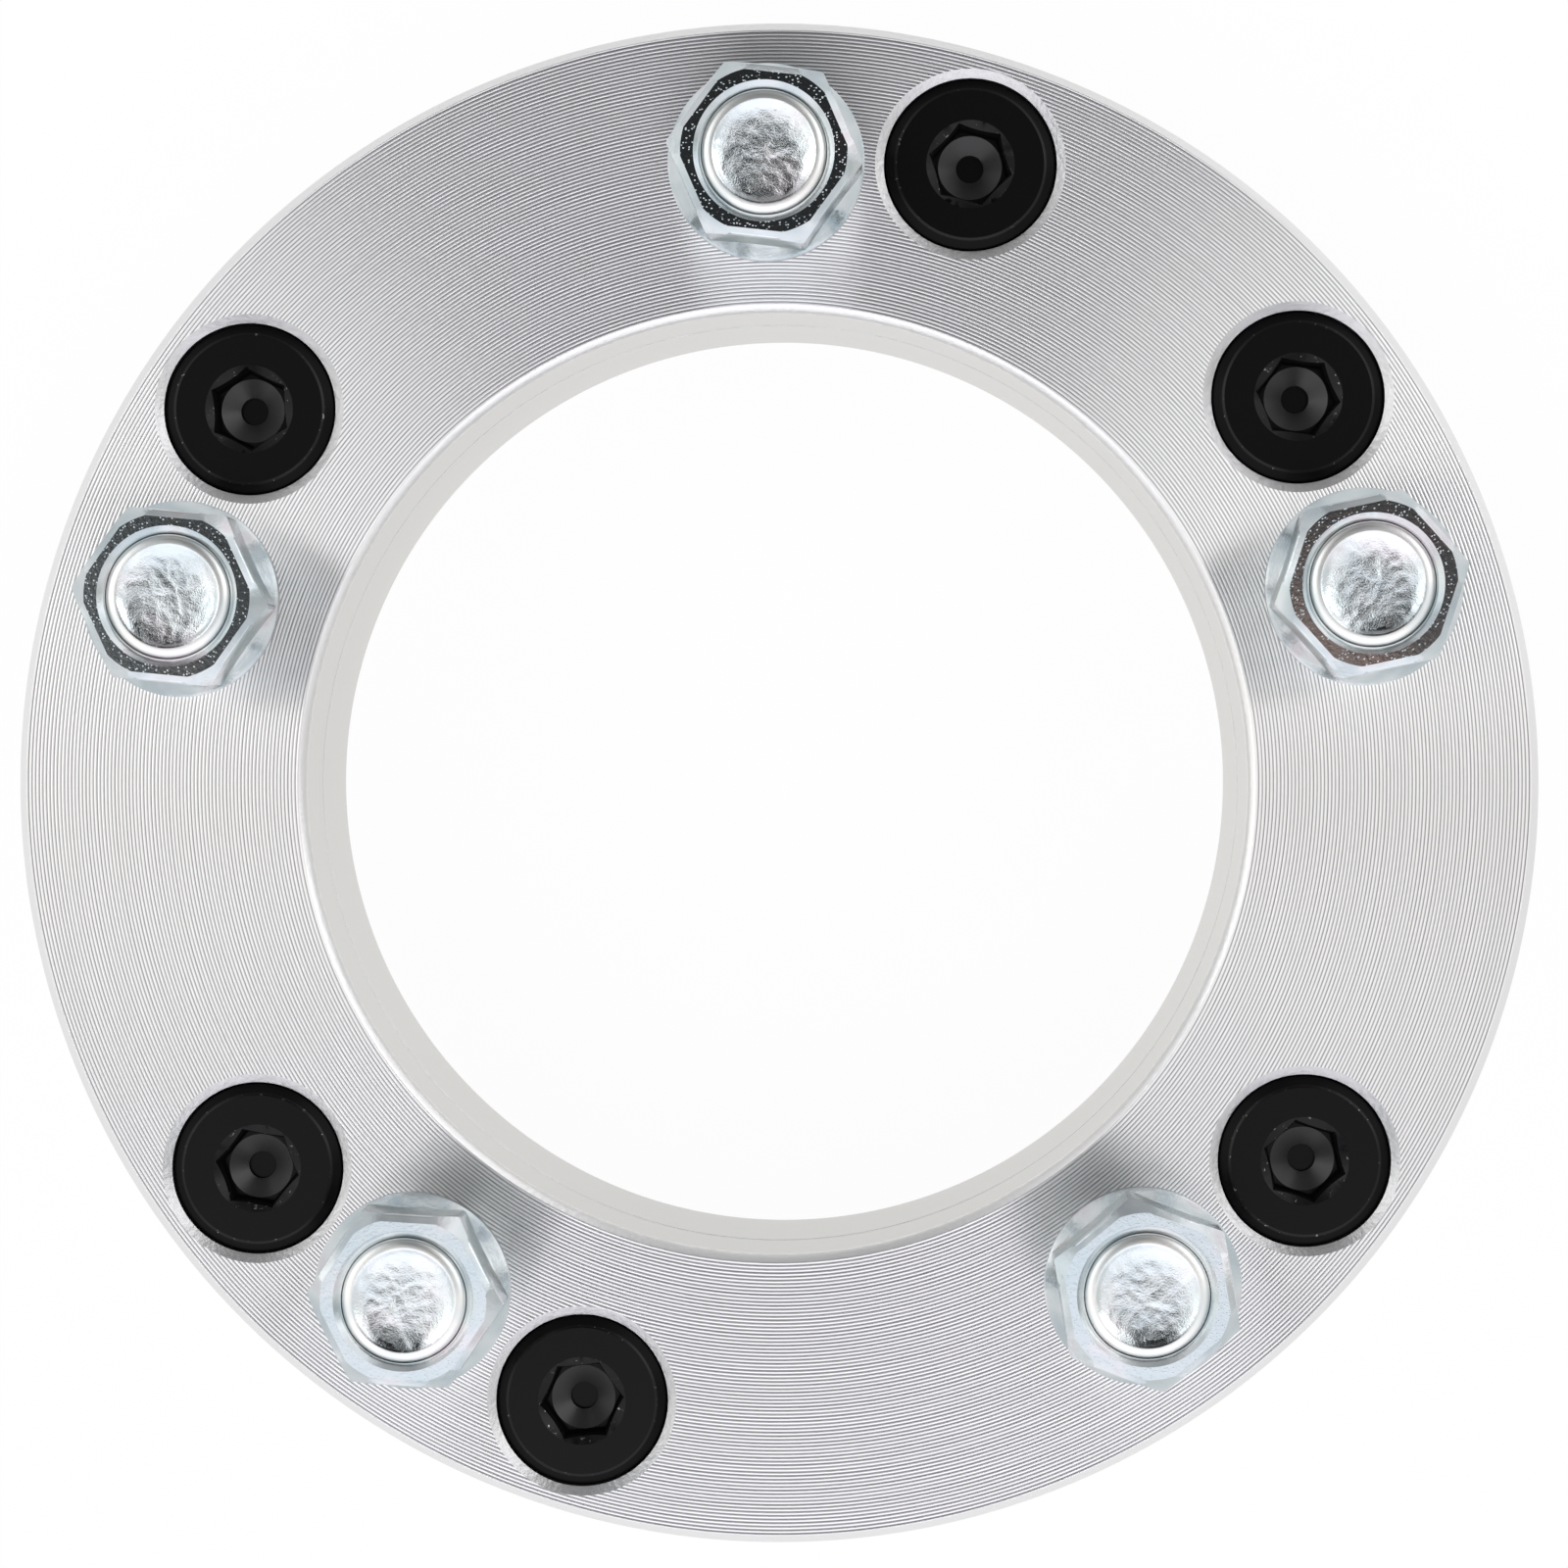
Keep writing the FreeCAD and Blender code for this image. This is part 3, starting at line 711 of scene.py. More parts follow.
class SPACER_OT_ring(bpy.types.Operator):
    """Turn the aluminium ring and drill it for the studs and the hub nuts"""

    bl_idname = "spacer.ring"
    bl_label = "Add ring"

    def execute(self, context):
        sizes = context.scene.spacer_ring
        top = height_span(RING)[1]
        ring = ring_blank(sizes, top)
        for nodes, make_cutter in ((STUDS, stud_hole_cutter), (HUB_NUTS, hub_hole_cutter)):
            pattern = make_cutter(sizes, top)
            for node in nodes:
                combine(ring, copy_to(pattern, "cutter", axis_of(node)), "DIFFERENCE")
            remove_piece(pattern)
        ring.name = "turned_ring"
        smooth_curves(ring, 25)
        self.finish_surfaces(ring, sizes)
        hand_over(ring, RING)
        return {"FINISHED"}

    def finish_surfaces(self, ring, sizes):
        """Give the faces, the walls and the cut edges their own turning marks."""
        colours = bpy.context.scene.spacer_finishes
        # The last number is how strongly the painted groove shade darkens each groove.
        face = turned_aluminium(
            "turned_aluminium_face", "RADIUS", FACE_PITCH, 0.016 * MM, 0.34, colours.aluminium, 1.0
        )
        outside = turned_aluminium(
            "turned_aluminium_wall", "HEIGHT", WALL_PITCH, 0.008 * MM, 0.32, colours.aluminium, 0.4
        )
        # The bore's wall takes the darker colour, as painted shade.
        bore = turned_aluminium(
            "bored_aluminium_wall", "HEIGHT", WALL_PITCH, 0.004 * MM, 0.3, colours.shaded_bore_wall, 0.15
        )
        form_cut = cut_aluminium("form_cut_aluminium", colours.aluminium, 0.28, 0.04 * MM)
        rubbed = cut_aluminium("rubbed_aluminium", colours.chamfer, 0.38, 0.08 * MM)
        middle = (sizes.bore + sizes.radius) / 2
        land = 2 * MM
        near = 0.1 * MM

        def on_face(at, normal):
            return abs(normal.z) > 0.95

        def on_wall(radius):
            return lambda at, normal: abs(normal.z) < 0.3 and abs(at.xy.length - radius) < near

        def in_hole(at, normal):
            return abs(at.xy.length - middle) < middle - sizes.bore - land

        paint(ring, form_cut)
        paint(ring, rubbed, in_hole)
        paint(ring, face, on_face)
        paint(ring, outside, on_wall(sizes.radius))
        paint(ring, bore, on_wall(sizes.bore))


# A wheel stud

def stud_body(sizes, head_radius, length):
    """Turn the head, the root of the shank and the cupped tip."""
    knurl_root = sizes.knurl - sizes.knurl_depth
    knurl_top = sizes.head_height + sizes.knurl_length
    thread_root = sizes.thread - sizes.thread_depth
    bevel_foot = length - sizes.tip_drop
    rim = sizes.thread - sizes.tip_bevel - sizes.lip
    profile = [
        (head_radius - sizes.head_break, 0.0),
        (head_radius, sizes.head_break),
        (head_radius, sizes.head_height),
        (knurl_root, sizes.head_height),
        (knurl_root, knurl_top),
        (thread_root, knurl_top + sizes.knurl_depth),
        (thread_root, bevel_foot - sizes.collar - sizes.thread_depth),
        (sizes.thread, bevel_foot - sizes.collar),
        (sizes.thread, bevel_foot),
    ]
    for angle in (20, 40, 60, 75, 90):
        inward = 1 - math.cos(math.radians(angle))
        upward = math.sin(math.radians(angle))
        profile.append((
            sizes.thread - sizes.tip_bevel * inward, bevel_foot + sizes.tip_drop * upward,
        ))
    steps = 24
    flatness = 5
    for step in range(steps):
        share = 1 - step / steps
        profile.append((rim * share, length - sizes.cup_depth * (1 - share ** flatness)))
    body = turn_profile("stud_body", profile, 96)
    crumple_cup(body, sizes, rim, length)
    return body


def crumple_cup(body, sizes, rim, length):
    """Crumple the cup's floor with a displace modifier that leaves its rim round."""
    make_active(body)
    floor = body.vertex_groups.new(name="cup")
    fade = 0.6 * MM
    for corner in body.data.vertices:
        inward = rim - corner.co.xy.length
        if inward > 0.0 and corner.co.z > length - 2 * sizes.cup_depth:
            floor.add([corner.index], min(1.0, inward / fade), "REPLACE")
    crumples = bpy.data.textures.new("rolled_crumples", "CLOUDS")
    crumples.cloud_type = "COLOR"
    crumples.noise_type = "HARD_NOISE"
    crumples.noise_scale = sizes.crumple_size
    crumples.noise_depth = 3
    press = body.modifiers.new("Crumple", "DISPLACE")
    press.texture = crumples
    press.vertex_group = floor.name
    press.direction = "RGB_TO_XYZ"
    press.texture_coords = "LOCAL"
    press.strength = sizes.crumple
    press.mid_level = 0.5
    bpy.ops.object.modifier_apply(modifier=press.name)


def stud_knurl(sizes):
    """Model the knurl: a plain sleeve, with every other upright edge pushed out to a tooth's tip."""
    deselect()
    root = sizes.knurl - sizes.knurl_depth
    bpy.ops.mesh.primitive_cylinder_add(
        vertices=2 * sizes.knurl_teeth, radius=root, depth=sizes.knurl_length,
        location=(0, 0, sizes.head_height + sizes.knurl_length / 2),
    )
    knurl = bpy.context.object
    apply_place()
    spacing = FULL_TURN / sizes.knurl_teeth

    def is_tooth(corner):
        teeth = math.atan2(corner.co.y, corner.co.x) / spacing
        return abs(teeth - round(teeth)) < 0.1

    edit_chosen(knurl.data.vertices, is_tooth)
    growth = sizes.knurl / root
    bpy.ops.transform.resize(value=(growth, growth, 1), center_override=(0, 0, 0))
    leave_edit()
    return knurl


def thread_coil(crest, depth, pitch, low, high, outward=True):
    """Model a thread as one closed coil: a tapered section, carried round by a screw modifier."""
    deselect()
    sink = 0.1 * MM  # how far the coil's root lies inside the metal that carries it
    root_share = 0.94  # width of the root in pitches
    crest_share = 0.18  # width of the crest in widths of the root
    reach = depth + sink
    middle = crest - reach / 2 if outward else crest + reach / 2
    start = low + pitch / 2
    turns = math.floor((high - low - pitch) / pitch)
    bpy.ops.mesh.primitive_plane_add(
        size=1.0, location=(middle, 0, start), rotation=(math.pi / 2, 0, 0)
    )
    coil = bpy.context.object
    coil.scale = (reach, root_share * pitch, 1.0)
    apply_place()
    edit_all()
    bpy.ops.mesh.delete(type="ONLY_FACE")
    leave_edit()
    for corner in coil.data.vertices:
        at_crest = corner.co.x > middle if outward else corner.co.x < middle
        if at_crest:
            corner.co.z = start + (corner.co.z - start) * crest_share
    screw = coil.modifiers.new("Thread", "SCREW")
    screw.axis = "Z"
    screw.angle = FULL_TURN
    screw.screw_offset = pitch
    screw.iterations = turns
    screw.steps = 40
    screw.render_steps = 40
    screw.use_merge_vertices = False
    bpy.ops.object.modifier_apply(modifier=screw.name)
    edit_all()
    bpy.ops.mesh.remove_doubles(threshold=SAME_PLACE / 2)
    bpy.ops.mesh.select_all(action="SELECT")
    bpy.ops.mesh.fill_holes(sides=4)
    turn_outwards()
    leave_edit()
    return coil


def join_pieces(pieces, name):
    deselect()
    for piece in pieces:
        piece.select_set(True)
    bpy.context.view_layer.objects.active = pieces[0]
    bpy.ops.object.join()
    joined = bpy.context.object
    joined.name = name
    return joined


class SPACER_OT_studs(bpy.types.Operator):
    """Model one wheel stud with its thread and copy it into every stud hole"""

    bl_idname = "spacer.studs"
    bl_label = "Add wheel studs"

    def execute(self, context):
        sizes = context.scene.spacer_stud
        low, high = height_span(STUDS[0])
        length = high - low
        body = stud_body(sizes, width(STUDS[0]) / 2, length)
        knurl = stud_knurl(sizes)
        thread_low = sizes.head_height + sizes.knurl_length
        thread_high = length - sizes.tip_drop - sizes.collar
        coil = thread_coil(sizes.thread, sizes.thread_depth, sizes.pitch, thread_low, thread_high)
        stud = join_pieces([body, knurl, coil], "stud_pattern")
        make_active(stud)
        bpy.ops.object.shade_smooth_by_angle(angle=math.radians(35))
        self.finish_surfaces(stud, sizes, length)
        turn = 1.9  # radians from one stud to the next, so that no two cups look alike
        turns = [turn * number for number in range(len(STUDS))]
        place_copies(stud, "threaded_stud", STUDS, turns)
        return {"FINISHED"}

    def finish_surfaces(self, stud, sizes, length):
        """Plate the stud, and make the cup's wall brighter and its floor, with a wavy edge, rougher."""
        colours = bpy.context.scene.spacer_finishes
        thread = zinc_plating(
            "zinc_plated_thread", colours.stud_zinc, 0.4, 0.35 * MM, 0.012 * MM, 0.36
        )
        cup_wall = zinc_plating(
            "zinc_plated_cup_wall", colours.cup_zinc, 0.6, 0.22 * MM, 0.025 * MM, 0.12
        )
        cup_floor = zinc_plating(
            "zinc_plated_cup_floor", colours.cup_zinc, 0.6, 0.22 * MM, 0.05 * MM, 0.12
        )
        rim = sizes.thread - sizes.tip_bevel - sizes.lip
        foot = length - 1.5 * MM

        def in_cup(at, normal):
            return at.z > foot and at.xy.length < rim

        def on_floor(at, normal):
            around = math.atan2(at.y, at.x)
            waves = math.sin(3 * around) + math.sin(5 * around + 2) + math.sin(8 * around + 1)
            return in_cup(at, normal) and at.xy.length < rim * (0.9 + 0.05 * waves)

        paint(stud, thread)
        paint(stud, cup_wall, in_cup)
        paint(stud, cup_floor, on_floor)


# A lug nut

def lug_nut_blank(sizes, length):
    """Join the turned seat and flange to a hexagon with chamfered corners."""
    seat_top = (sizes.flange - sizes.seat) / SEAT_SLOPE
    band_top = seat_top + sizes.band
    shoulder_top = band_top + sizes.shoulder
    inside = sizes.flats / 2 - sizes.fillet
    outside = sizes.flats / 2 + sizes.fillet
    edge = sizes.flange_edge
    seat = turn_profile("seat", [
        (sizes.seat, 0.0),
        (sizes.flange - edge / 2, seat_top - edge),
        (sizes.flange, seat_top),
        (sizes.flange, band_top - edge),
        (sizes.flange - edge, band_top),
        (outside, band_top + sizes.fillet_height),
        (inside, shoulder_top),
        (inside, shoulder_top + PAST),
    ], 96)
    hexagon = hexagonal_bar("hexagon", sizes.flats, band_top, length - sizes.edge_drop)
    round_upright_edges(hexagon, sizes.corner_round)
    widen_top(hexagon, sizes.edge_drop, 1 - 2 * sizes.edge_break / sizes.flats)
    far = 0.7 * sizes.flats  # past the hexagon's corners
    envelope = turn_profile("corner_envelope", [
        (far, band_top - PAST),
        (far, length - (far - sizes.corner)),
        (sizes.corner, length),
    ], 96)
    combine(hexagon, envelope, "INTERSECT")
    combine(seat, hexagon, "UNION")
    return seat


def lug_nut_bore(sizes, length):
    """Turn the tool shape for the bore, its lower chamfer and its countersink."""
    drop = sizes.mouth - sizes.bore
    return turn_profile("bore_cutter", [
        (sizes.bore + sizes.foot_break, -PAST),
        (sizes.bore + sizes.foot_break, 0.0),
        (sizes.bore, sizes.foot_break),
        (sizes.bore, length - drop),
        (sizes.mouth, length),
        (sizes.mouth, length + PAST),
    ], 96)


class SPACER_OT_lug_nuts(bpy.types.Operator):
    """Model one lug nut and copy it onto every stud, each at its own turn"""

    bl_idname = "spacer.lug_nuts"
    bl_label = "Add lug nuts"

    def execute(self, context):
        sizes = context.scene.spacer_lug_nut
        low, high = height_span(LUG_NUTS[0])
        length = high - low
        nut = lug_nut_blank(sizes, length)
        combine(nut, lug_nut_bore(sizes, length), "DIFFERENCE")
        smooth_curves(nut, 30, sizes.flats)
        colours = context.scene.spacer_finishes
        sides = zinc_plating(
            "zinc_plated_steel", colours.nut_zinc, 0.8, 1.6 * MM, 0.05 * MM, 0.16
        )
        # The top end faces take the darker zinc, as painted shade.
        end = zinc_plating(
            "zinc_plated_end_face", colours.shaded_end_zinc, 0.7, 0.5 * MM, 0.012 * MM, 0.12, 0.1 * MM
        )
        near = 0.1 * MM
        paint(nut, sides)
        paint(nut, end, lambda at, normal: normal.z > 0.98 and at.z > length - near)
        place_copies(nut, "flanged_nut", LUG_NUTS, sizes.turns)
        return {"FINISHED"}


# A closed hub nut

def hub_nut_barrel(sizes, radius, length):
    """Turn the barrel with its cone seat and its bevelled top, all edges softened a little."""
    seat_top = (radius - sizes.seat) / SEAT_SLOPE
    soft = 0.15 * MM
    return turn_profile("barrel", [
        (sizes.seat, 0.0),
        (radius - soft / 2, seat_top - soft),
        (radius, seat_top + soft),
        (radius, length - sizes.bevel_depth - soft),
        (radius - soft / 2, length - sizes.bevel_depth),
        (sizes.bevel + soft, length - soft),
        (sizes.bevel, length - soft / 3),
        (sizes.bevel - soft, length),
    ], 96)


def hub_nut_thread(sizes):
    """Turn the tool shape for the blind thread's root, with a small mouth chamfer and drill point."""
    root = sizes.thread + sizes.groove
    mouth_break = 0.05 * MM
    tip = 0.01 * MM
    point = sizes.thread / DRILL_SLOPE
    return turn_profile("thread_cutter", [
        (root + mouth_break, -PAST),
        (root + mouth_break, 0.0),
        (root, mouth_break),
        (root, sizes.thread_depth - sizes.pitch),
        (sizes.thread, sizes.thread_depth - sizes.pitch / 2),
        (sizes.thread, sizes.thread_depth),
        (tip, sizes.thread_depth + point),
    ], 72)


def socket_walls(sizes, length):
    """Build the tool shape for the socket's walls: narrower at the foot, wider at the lead-in. The
    lead-in's flare goes on above the nut's top by its own depth."""
    floor_top = length - sizes.socket_depth
    foot_top = floor_top + sizes.foot_height
    walls = hexagonal_bar("socket_cutter", sizes.foot_flats, floor_top, foot_top, sizes.socket)
    widen_top(walls, length - sizes.lead_depth - foot_top, 1.0)
    widen_top(walls, 2 * sizes.lead_depth, 2 * sizes.lead_flats / sizes.socket - 1)
    return walls


def socket_floor(sizes, length):
    """Turn the tool shape for the socket's cone floor and dimple."""
    rim = sizes.foot_flats / 2
    lap = 0.05 * MM
    floor_top = length - sizes.socket_depth
    floor_bottom = floor_top - (rim - sizes.dimple) / FLOOR_SLOPE
    return turn_profile("floor_cutter", [
        (sizes.dimple, floor_bottom - sizes.dimple_depth),
        (sizes.dimple, floor_bottom),
        (rim, floor_top),
        (rim, floor_top + lap),
    ], 96)


def socket_sink(sizes, length):
    """Turn the tool shape for the shallow countersink around the socket."""
    rise = 0.5 * MM
    inward = 2 * MM
    return turn_profile("sink_cutter", [
        (sizes.sink - inward, length - inward / FLOOR_SLOPE),
        (sizes.sink, length),
        (sizes.sink + rise * FLOOR_SLOPE, length + rise),
    ], 96)


class SPACER_OT_hub_nuts(bpy.types.Operator):
    """Model one closed hub nut and copy it into every stepped hole, each at its own turn"""

    bl_idname = "spacer.hub_nuts"
    bl_label = "Add hub nuts"

    def execute(self, context):
        sizes = context.scene.spacer_hub_nut
        low, high = height_span(HUB_NUTS[0])
        length = high - low
        nut = hub_nut_barrel(sizes, width(HUB_NUTS[0]) / 2, length)
        combine(nut, hub_nut_thread(sizes), "DIFFERENCE")
        combine(nut, socket_walls(sizes, length), "DIFFERENCE")
        combine(nut, socket_sink(sizes, length), "DIFFERENCE")
        combine(nut, socket_floor(sizes, length), "DIFFERENCE")
        coil = thread_coil(
            sizes.thread, sizes.groove, sizes.pitch, 0.3 * MM, sizes.thread_depth, outward=False
        )
        nut = join_pieces([nut, coil], "nut_pattern")
        smooth_curves(nut, 20)  # a smaller angle than elsewhere, which keeps the socket's walls crisp
        self.finish_surfaces(nut, sizes, length)
        place_copies(nut, "socket_nut", HUB_NUTS, sizes.turns)
        return {"FINISHED"}

    def finish_surfaces(self, nut, sizes, length):
        """Dim the bevel's reflection as painted shade, lighten the drilled floor, and wear the lead-in
        and the top's edge.
        """
        colours = bpy.context.scene.spacer_finishes
        floor_top = length - sizes.socket_depth
        bevel_foot = length - sizes.bevel_depth - 0.2 * MM
        cone_depth = 1.5 * MM
        near = 0.1 * MM

        def on_bevel(at, normal):
            return at.z > bevel_foot and at.xy.length > sizes.bevel

        def on_cone(at, normal):
            below = floor_top - at.z
            return 0.3 < normal.z < 0.95 and 0.0 < below < cone_depth and at.xy.length > sizes.dimple

        def on_edge(at, normal):
            near_rim = abs(at.xy.length - sizes.bevel) < near and at.z > bevel_foot
            on_lead = at.xy.length < sizes.sink and at.z > length - sizes.lead_depth
            return abs(normal.z) < LEVEL and (near_rim or on_lead)

        paint(nut, black_oxide("black_oxide_steel", colours.black, 0.8, 0.14))
        # Painted shade: the bevel's weaker gloss darkens it all round.
        paint(nut, black_oxide("dimmed_bevel_black_oxide", colours.black, 0.76, 0.09), on_bevel)
        paint(nut, black_oxide("worn_black_oxide", colours.black, 0.63, 0.22), on_edge)
        paint(nut, black_oxide("thin_black_oxide", colours.drilled, 0.8, 0.45), on_cone)


# The stage: white paper, soft lamps and the camera

def paper_sweep(sizes):
    """Lay the white paper that the part rests on. It shows as plain white to the camera, and a
    little darker in reflections beyond the part, and it takes a faint shadow."""
    deselect()
    gap = 0.05 * MM
    bpy.ops.mesh.primitive_plane_add(size=sizes.floor_size, location=(0, 0, -gap))
    paper = bpy.context.object
    paper.name = "paper_sweep"
    apply_place()
    colours = bpy.context.scene.spacer_finishes
    material, tree, shader, place = start_material("white_paper")
    set_up(tree, shader, {"Base Color": colours.floor, "Roughness": 0.9, "Specular IOR Level": 0.1})
    path = add_node(tree, "ShaderNodeLightPath")
    lit = add_node(
        tree, "ShaderNodeMapRange", {"From Min": 0.1, "From Max": 0.2, "To Min": 1.0, "To Max": 0.8},
        {"Value": radius_of(tree, place)[1]}, interpolation_type="SMOOTHSTEP",
    )
    mirrored = add_node(
        tree, "ShaderNodeMath", None,
        {0: path.outputs["Is Glossy Ray"], 1: lit.outputs[0]}, operation="MULTIPLY",
    )
    seen = add_node(
        tree, "ShaderNodeMath", None,
        {0: path.outputs["Is Camera Ray"], 1: mirrored.outputs[0]}, operation="MAXIMUM",
    )
    glow = add_node(
        tree, "ShaderNodeEmission", {"Color": (1, 1, 1, 1)}, {"Strength": seen.outputs[0]}
    )
    mixed = add_node(
        tree, "ShaderNodeMixShader", {0: 0.95}, {1: shader.outputs[0], 2: glow.outputs[0]}
    )
    tree.links.new(mixed.outputs[0], tree.nodes["Material Output"].inputs["Surface"])
    paper.data.materials.append(material)


def mirrored_card(sizes):
    """Hang a brown card beside the camera. Only polished faces show it, as the right hand nut does."""
    deselect()
    bpy.ops.mesh.primitive_plane_add(size=1.0, location=sizes.card_place)
    card = bpy.context.object
    card.name = "brown_card"
    card.scale = (sizes.card_width, sizes.card_height, 1.0)
    apply_place()
    material, tree, shader, place = start_material("brown_card")
    colour = bpy.context.scene.spacer_finishes.card
    glow = add_node(tree, "ShaderNodeEmission", {"Color": colour})
    tree.links.new(glow.outputs[0], tree.nodes["Material Output"].inputs["Surface"])
    card.data.materials.append(material)
    card.visible_camera = card.visible_diffuse = card.visible_shadow = False


def softbox(name, place, sizes):
    """Stand a square softbox at a place, facing the part."""
    deselect()
    bpy.ops.object.light_add(type="AREA", location=place)
    lamp = bpy.context.object
    lamp.name = name
    lamp.data.shape = "SQUARE"
    lamp.data.size = sizes.softbox_size
    lamp.data.energy = sizes.softbox_power
    ahead = Vector(sizes.softbox_aim) - Vector(place)
    lamp.rotation_euler = ahead.to_track_quat("-Z", "Y").to_euler()


# The tent's cloth: compass angle in degrees from the right hand side, how bright it is
# there, and how much bluer than white
TENT_PANELS = (
    (0, 0.68, -0.04), (15, 1.5, 0.0), (30, 1.1, 0.0), (60, 1.22, 0.0), (75, 0.68, 0.0),
    (105, 0.58, 0.0), (120, 0.78, 0.0), (150, 0.86, 0.0), (165, 1.44, -0.02), (180, 1.24, -0.04),
    (205, 0.74, 0.0), (225, 1.0, 0.02), (245, 0.98, 0.04), (290, 0.98, 0.04), (305, 0.95, 0.03),
    (325, 0.72, 0.0), (345, 0.74, 0.0),
)


def tent_panels(tree, parts):
    """Return the colour of the tent's cloth by compass angle."""
    angle = add_node(
        tree, "ShaderNodeMath", None, {0: parts.outputs["Y"], 1: parts.outputs["X"]},
        operation="ARCTAN2",
    )
    share = add_node(
        tree, "ShaderNodeMath", {1: FULL_TURN}, {0: angle.outputs[0]}, operation="DIVIDE"
    )
    around = add_node(tree, "ShaderNodeMath", {1: 1.0}, {0: share.outputs[0]}, operation="FLOORED_MODULO")
    ramp = add_node(tree, "ShaderNodeValToRGB", None, {"Fac": around.outputs[0]})
    stops = ramp.color_ramp.elements
    colours = [
        (brightness, 0.99 * brightness, (1 + bluer) * brightness, 1.0)
        for degrees, brightness, bluer in TENT_PANELS
    ]
    stops[0].color = stops[1].color = colours[0]
    for panel, colour in zip(TENT_PANELS[1:], colours[1:]):
        stops.new(panel[0] / 360).color = colour
    return ramp.outputs["Color"]


def tent_opening(tree, parts):
    """Return 1 where the tent is open: a wedge that starts overhead and widens to the far side."""
    sideways = add_node(tree, "ShaderNodeMath", None, {0: parts.outputs["X"]}, operation="ABSOLUTE")
    half_width = add_node(
        tree, "ShaderNodeMapRange", {"From Min": 0.0, "From Max": 1.0, "To Min": 0.25, "To Max": 0.52},
        {"Value": parts.outputs["Y"]},
    )
    inside = add_node(
        tree, "ShaderNodeMath", None, {0: half_width.outputs[0], 1: sideways.outputs[0]},
        operation="SUBTRACT",
    )
    between = add_node(
        tree, "ShaderNodeMapRange", {"From Min": -0.04, "From Max": 0.04},
        {"Value": inside.outputs[0]}, interpolation_type="SMOOTHSTEP",
    )
    far = add_node(
        tree, "ShaderNodeMapRange", {"From Min": -0.08, "From Max": -0.02},
        {"Value": parts.outputs["Y"]}, interpolation_type="SMOOTHSTEP",
    )
    return add_node(
        tree, "ShaderNodeMath", None, {0: between.outputs[0], 1: far.outputs[0]}, operation="MULTIPLY"
    ).outputs[0]


def tent_brightness(tree, parts):
    """Return how bright the tent's cloth is: brighter at the near side and dimmer near the ground."""
    near = add_node(
        tree, "ShaderNodeMapRange", {"From Min": -0.4, "From Max": 0.0, "To Min": 1.66, "To Max": 1.32},
        {"Value": parts.outputs["Y"]}, interpolation_type="SMOOTHSTEP",
    )
    low = add_node(
        tree, "ShaderNodeMapRange", {"From Min": 0.35, "From Max": 0.7, "To Min": 0.68},
        {"Value": parts.outputs["Z"]}, interpolation_type="SMOOTHSTEP",
    )
    return add_node(
        tree, "ShaderNodeMath", None, {0: near.outputs[0], 1: low.outputs[0]}, operation="MULTIPLY"
    ).outputs[0]


def tent_light():
    """Light the part from a white tent that is open, and so dark, overhead and at the far side.
    The camera itself sees plain white behind the part."""
    world = bpy.data.worlds.new("white_tent")
    bpy.context.scene.world = world
    world.use_nodes = True
    tree = world.node_tree
    direction = add_node(tree, "ShaderNodeTexCoord").outputs["Generated"]
    parts = add_node(tree, "ShaderNodeSeparateXYZ", None, {0: direction})
    room = add_node(
        tree, "ShaderNodeMapRange", {"From Min": 0.45, "From Max": 0.8, "To Min": 0.7, "To Max": 0.04},
        {"Value": parts.outputs["Z"]}, interpolation_type="SMOOTHSTEP",
    )
    shade = add_node(
        tree, "ShaderNodeMix", None,
        {0: tent_opening(tree, parts), 2: tent_brightness(tree, parts), 3: room.outputs[0]},
        data_type="FLOAT",
    )
    path = add_node(tree, "ShaderNodeLightPath")
    level = add_node(
        tree, "ShaderNodeMix", {3: 1.0},
        {0: path.outputs["Is Camera Ray"], 2: shade.outputs[0]}, data_type="FLOAT",
    )
    colour = add_node(
        tree, "ShaderNodeMix", {"B": (1.0, 1.0, 1.0, 1.0)},
        {"Factor": path.outputs["Is Camera Ray"], "A": tent_panels(tree, parts)}, data_type="RGBA",
    )
    background = tree.nodes["Background"]
    tree.links.new(colour.outputs["Result"], background.inputs["Color"])
    tree.links.new(level.outputs[0], background.inputs["Strength"])


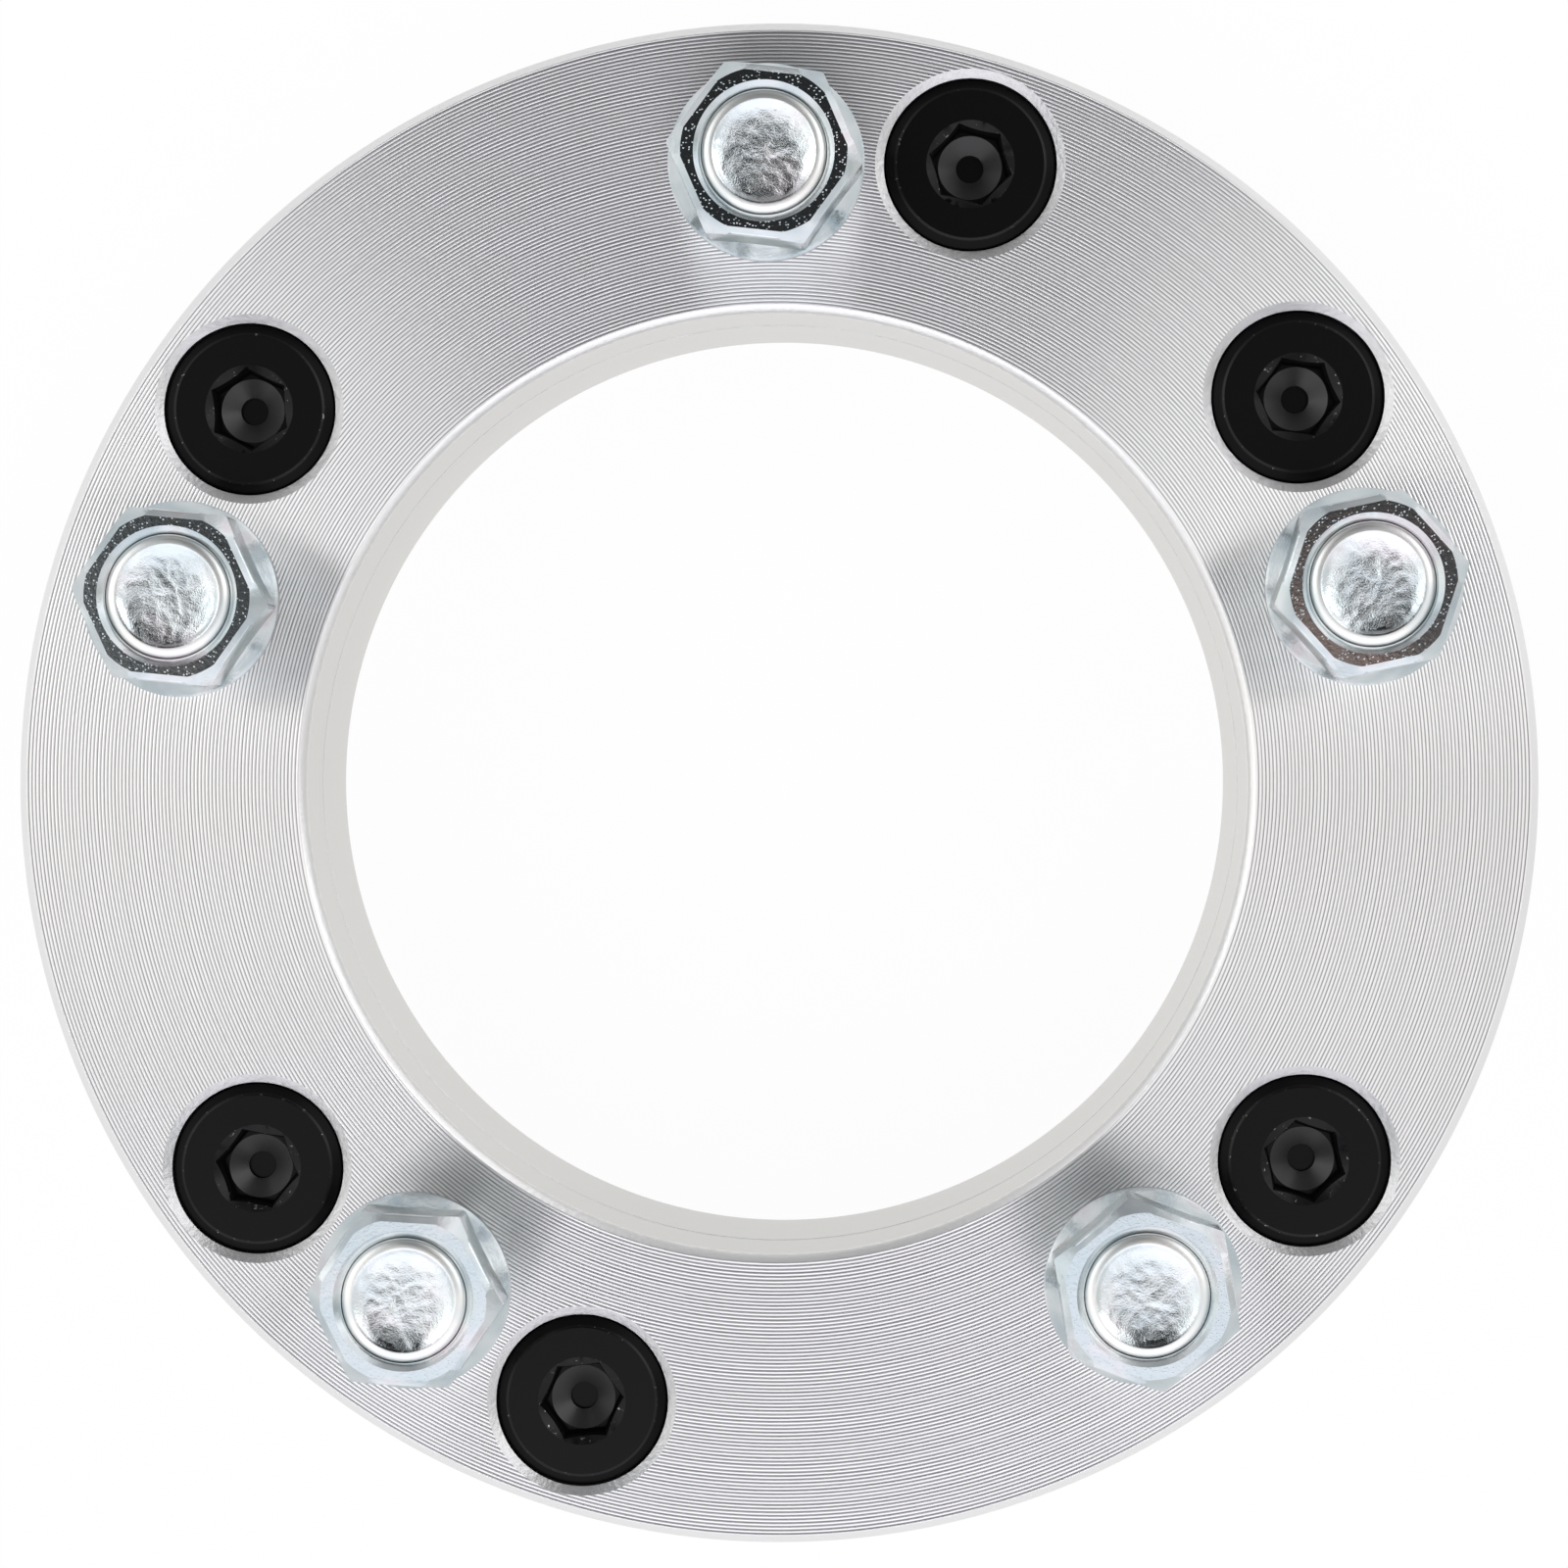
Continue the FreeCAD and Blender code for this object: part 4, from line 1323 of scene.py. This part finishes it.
def place_camera(sizes):
    bpy.ops.object.camera_add(location=sizes.camera_place)
    camera = bpy.context.object
    camera.name = "camera"
    look = Vector(sizes.camera_aim) - Vector(sizes.camera_place)
    back = -look.normalized()
    right = Vector(sizes.camera_up).cross(back).normalized()
    up = back.cross(right)
    camera.rotation_euler = Matrix((right, up, back)).transposed().to_euler()
    camera.data.sensor_width = 36.0
    camera.data.lens = sizes.lens
    camera.data.clip_start = 0.01
    camera.data.clip_end = 20.0
    bpy.context.scene.camera = camera


class SPACER_OT_stage(bpy.types.Operator):
    """Lay the paper, hang the lamps and set up the camera"""

    bl_idname = "spacer.stage"
    bl_label = "Add stage"

    def execute(self, context):
        sizes = context.scene.spacer_stage
        paper_sweep(sizes)
        mirrored_card(sizes)
        tent_light()
        softbox("left_softbox", sizes.left_softbox, sizes)
        softbox("right_softbox", sizes.right_softbox, sizes)
        place_camera(sizes)
        context.scene.view_settings.view_transform = "Standard"
        return {"FINISHED"}


class SPACER_PT_panel(bpy.types.Panel):
    """List the steps that build the wheel spacer"""

    bl_idname = "SPACER_PT_panel"
    bl_label = "Wheel spacer"
    bl_space_type = "VIEW_3D"
    bl_region_type = "UI"
    bl_category = "Spacer"

    def draw(self, context):
        for step in STEPS:
            self.layout.operator(step.bl_idname)


STEPS = (
    SPACER_OT_ring,
    SPACER_OT_studs,
    SPACER_OT_lug_nuts,
    SPACER_OT_hub_nuts,
    SPACER_OT_stage,
)
GROUPS = {
    "spacer_ring": RingSizes,
    "spacer_stud": StudSizes,
    "spacer_lug_nut": LugNutSizes,
    "spacer_hub_nut": HubNutSizes,
    "spacer_finishes": Finishes,
    "spacer_stage": StageSizes,
}
CLASSES = (*GROUPS.values(), *STEPS, SPACER_PT_panel)


def register():
    for item in CLASSES:
        bpy.utils.register_class(item)
    for name, group in GROUPS.items():
        setattr(bpy.types.Scene, name, bpy.props.PointerProperty(type=group))


def unregister():
    for name in GROUPS:
        delattr(bpy.types.Scene, name)
    for item in reversed(CLASSES):
        bpy.utils.unregister_class(item)


def main():
    register()
    bpy.ops.spacer.ring()
    bpy.ops.spacer.studs()
    bpy.ops.spacer.lug_nuts()
    bpy.ops.spacer.hub_nuts()
    bpy.ops.spacer.stage()


if __name__ == "__main__":
    main()
